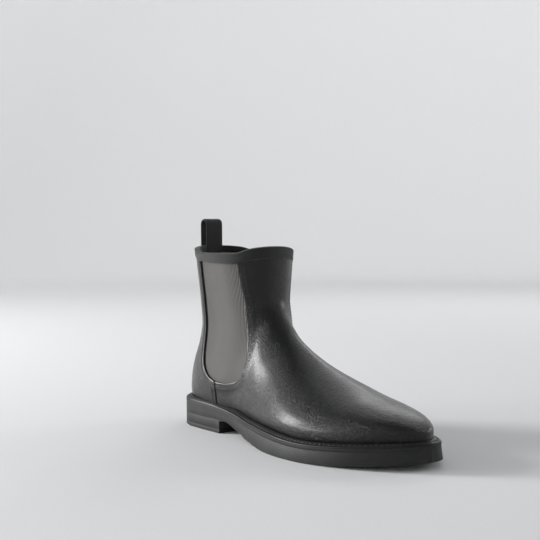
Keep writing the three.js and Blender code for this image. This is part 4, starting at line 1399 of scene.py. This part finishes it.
# ---- Welt: a stitched rim of the sole that climbs to the leather.
def welt():
    phi = np.linspace(0, 2 * math.pi, 520, endpoint=False)
    surface = upper_point(phi, 0.016)
    inward = unit(-upper_normal(upper_point(phi, 0)) * (1, 1, 0))
    inner = surface - inward * (GAP + 0.05)
    outer = rim(phi, 0.6)
    outer = np.column_stack([outer, feather(outer[:, 0]) + WELT_EDGE])
    foot = upper_point(phi, 0) - inward * (GAP + 0.05)
    base = rim(phi, 0.4)
    base = np.column_stack([base, feather(base[:, 0])])
    # Share of the way out and rise, with the channel that the stitches lie in.
    across = [(0, -0.35), (0.03, -0.08), (0.09, 0.05), (0.3, 0.1), (0.48, 0.06), (0.55, -0.24),
              (0.6, -0.34), (0.65, -0.24), (0.72, 0.08), (0.9, 0.03), (0.98, -0.1), (1.03, -0.4)]
    loops = [mix(inner, outer, share) + (0, 0, up) for share, up in across]
    loops += [base, foot]
    made = piece("welt_rand", np.vstack(loops), ring_faces(len(loops), len(phi)), black_welt,
                 "welt", ["welt"])
    face_out(made)
    only(made)
    bpy.ops.object.shade_smooth_by_angle(angle=math.radians(50))
    line = mix(inner, outer, 0.6)
    line = np.vstack([line, line[:1]])
    up = np.tile((0, 0, 1.0), (len(line), 1))
    row = stitch_row(line + up * 0.05, up, *WELT_STITCH)
    stitches("welt_stitches", [row], welt_thread, "welt_thread", ["welt_stitching"])


welt()


# ---- Sock liner, seen down the shaft.
def sock_liner():
    lift = WALL + GAP + INSOLE + GAP
    inset = unplace(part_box("sock_liner")[0])[0] - outline[:, 0].min()
    sole_piece("sock_liner_leather", sock_leather, "lining", "sock_liner", inset, None,
               off(feather, lift + SOCK_LINER), [(off(feather, lift), 0.0)], columns=14,
               stations=120, edge=0.4)


sock_liner()


# ---- The room: a pale floor that curves up all round, soft lights and the camera.
FLOOR_FLAT, FLOOR_CURVE, FLOOR_TOP = 3.6, 1.4, 3.0
FLOOR_SECTORS = 96


def studio():
    bpy.ops.object.select_all(action="DESELECT")
    turn = np.linspace(0, 2 * math.pi, FLOOR_SECTORS, endpoint=False)
    climb = np.linspace(0.1, math.pi / 2, 12)
    profile = [(0.6, 0), (2.2, 0), (FLOOR_FLAT, 0)]
    profile += [(FLOOR_FLAT + FLOOR_CURVE * math.sin(a), FLOOR_CURVE * (1 - math.cos(a)))
                for a in climb]
    profile += [(FLOOR_FLAT + FLOOR_CURVE, height) for height in (2.2, FLOOR_TOP)]
    corners = [(0, 0, 0)]
    corners += [(r * math.cos(a), r * math.sin(a), z) for r, z in profile for a in turn]
    faces = [[0, 1 + i, 1 + (i + 1) % FLOOR_SECTORS] for i in range(FLOOR_SECTORS)]
    for start in range(1, 1 + FLOOR_SECTORS * (len(profile) - 1), FLOOR_SECTORS):
        for i in range(FLOOR_SECTORS):
            n = (i + 1) % FLOOR_SECTORS
            outer = start + FLOOR_SECTORS
            faces.append([start + i, outer + i, outer + n, start + n])
    mesh = bpy.data.meshes.new("pale_floor")
    mesh.from_pydata(corners, [], faces)
    mesh.shade_smooth()
    floor = bpy.data.objects.new("pale_floor", mesh)
    bpy.context.scene.collection.objects.link(floor)
    paper = Finish("pale_paper", Specular_IOR_Level=0.2)
    tooth = paper.noise(700, 4)
    paper.shade(between(paper.tree, tooth, 0.3, 0.7), grey(0.75), grey(0.78))
    paper.rough(between(paper.tree, tooth, 0.3, 0.7, 0.82, 0.9))
    # Painted light: the paper glows, more the further out it lies, so the far floor and the curved
    # wall look lit.
    away = add_node(paper.tree, "VectorMath", {"operation": "LENGTH"}, i0=object_place(paper.tree))
    painted_glow_share = between(paper.tree, away.outputs["Value"], 0.6, 4.0, 0.0, 0.25)
    glow = blend_colours(paper.tree, painted_glow_share, grey(0.0), grey(1.0))
    paper.tree.links.new(glow, paper.shader.inputs["Emission Color"])
    paper.shader.inputs["Emission Strength"].default_value = 1.0
    mesh.materials.append(paper.material)


studio()


BOOT_MIDDLE = (0.1, 0, 0.06)


def turned_to(right, up, back):
    return Matrix(np.column_stack([right, up, back]).tolist()).to_euler()


def area_light(name, direction, distance, size, power):
    light = bpy.data.lights.new(name, "AREA")
    light.shape = "RECTANGLE"
    light.size, light.size_y = size
    light.energy = power
    made = bpy.data.objects.new(name, light)
    back = np.array(direction) / np.linalg.norm(direction)
    made.location = np.array(BOOT_MIDDLE) + back * distance
    bpy.context.scene.collection.objects.link(made)
    right = unit(np.cross((0, 0, 1.0), back))
    up = np.cross(back, right)
    made.rotation_euler = turned_to(right, up, back)


area_light("key_softbox", (-0.76, -0.6, 0.27), 2.5, (0.62, 0.9), 70)
area_light("side_softbox", (-0.48, -0.87, 0.15), 2.4, (0.9, 0.3), 20)
area_light("rear_softbox", (-0.46, 0.66, 0.5), 2.4, (0.9, 0.5), 6.5)
area_light("toe_softbox", (0.2, 0.93, 0.3), 2.4, (0.7, 0.5), 8)

world = bpy.data.worlds.new("soft_room")
world.use_nodes = True
world.node_tree.nodes["Background"].inputs[0].default_value = (0.93, 0.95, 1.0, 1)
world.node_tree.nodes["Background"].inputs[1].default_value = 0.32
bpy.context.scene.world = world
bpy.context.scene.view_settings.view_transform = "Standard"


# ---- Camera.
def camera():
    azimuth, pitch, roll = (math.radians(a) for a in (53.32, 1.85, -0.44))
    distance, focal, centre_u, centre_v = 900, 1052.04, 299.71, 393.39
    back = np.array([math.sin(azimuth) * math.cos(pitch), -math.cos(azimuth) * math.cos(pitch),
                     math.sin(pitch)])
    right = np.array([math.cos(azimuth), math.sin(azimuth), 0])
    up = np.cross(back, right)
    level_right = math.cos(roll) * right + math.sin(roll) * up
    level_up = -math.sin(roll) * right + math.cos(roll) * up
    spot = np.array([150, 0, 40]) - distance * (level_right * (centre_u - 270) / focal
                                                - level_up * (centre_v - 270) / focal - back)
    data = bpy.data.cameras.new("camera")
    data.sensor_width = 36
    data.lens = focal / 540 * 36
    data.clip_start = 0.01
    made = bpy.data.objects.new("camera", data)
    made.location = place(spot)
    made.rotation_euler = turned_to(level_right, level_up, back)
    bpy.context.scene.collection.objects.link(made)
    bpy.context.scene.camera = made


camera()
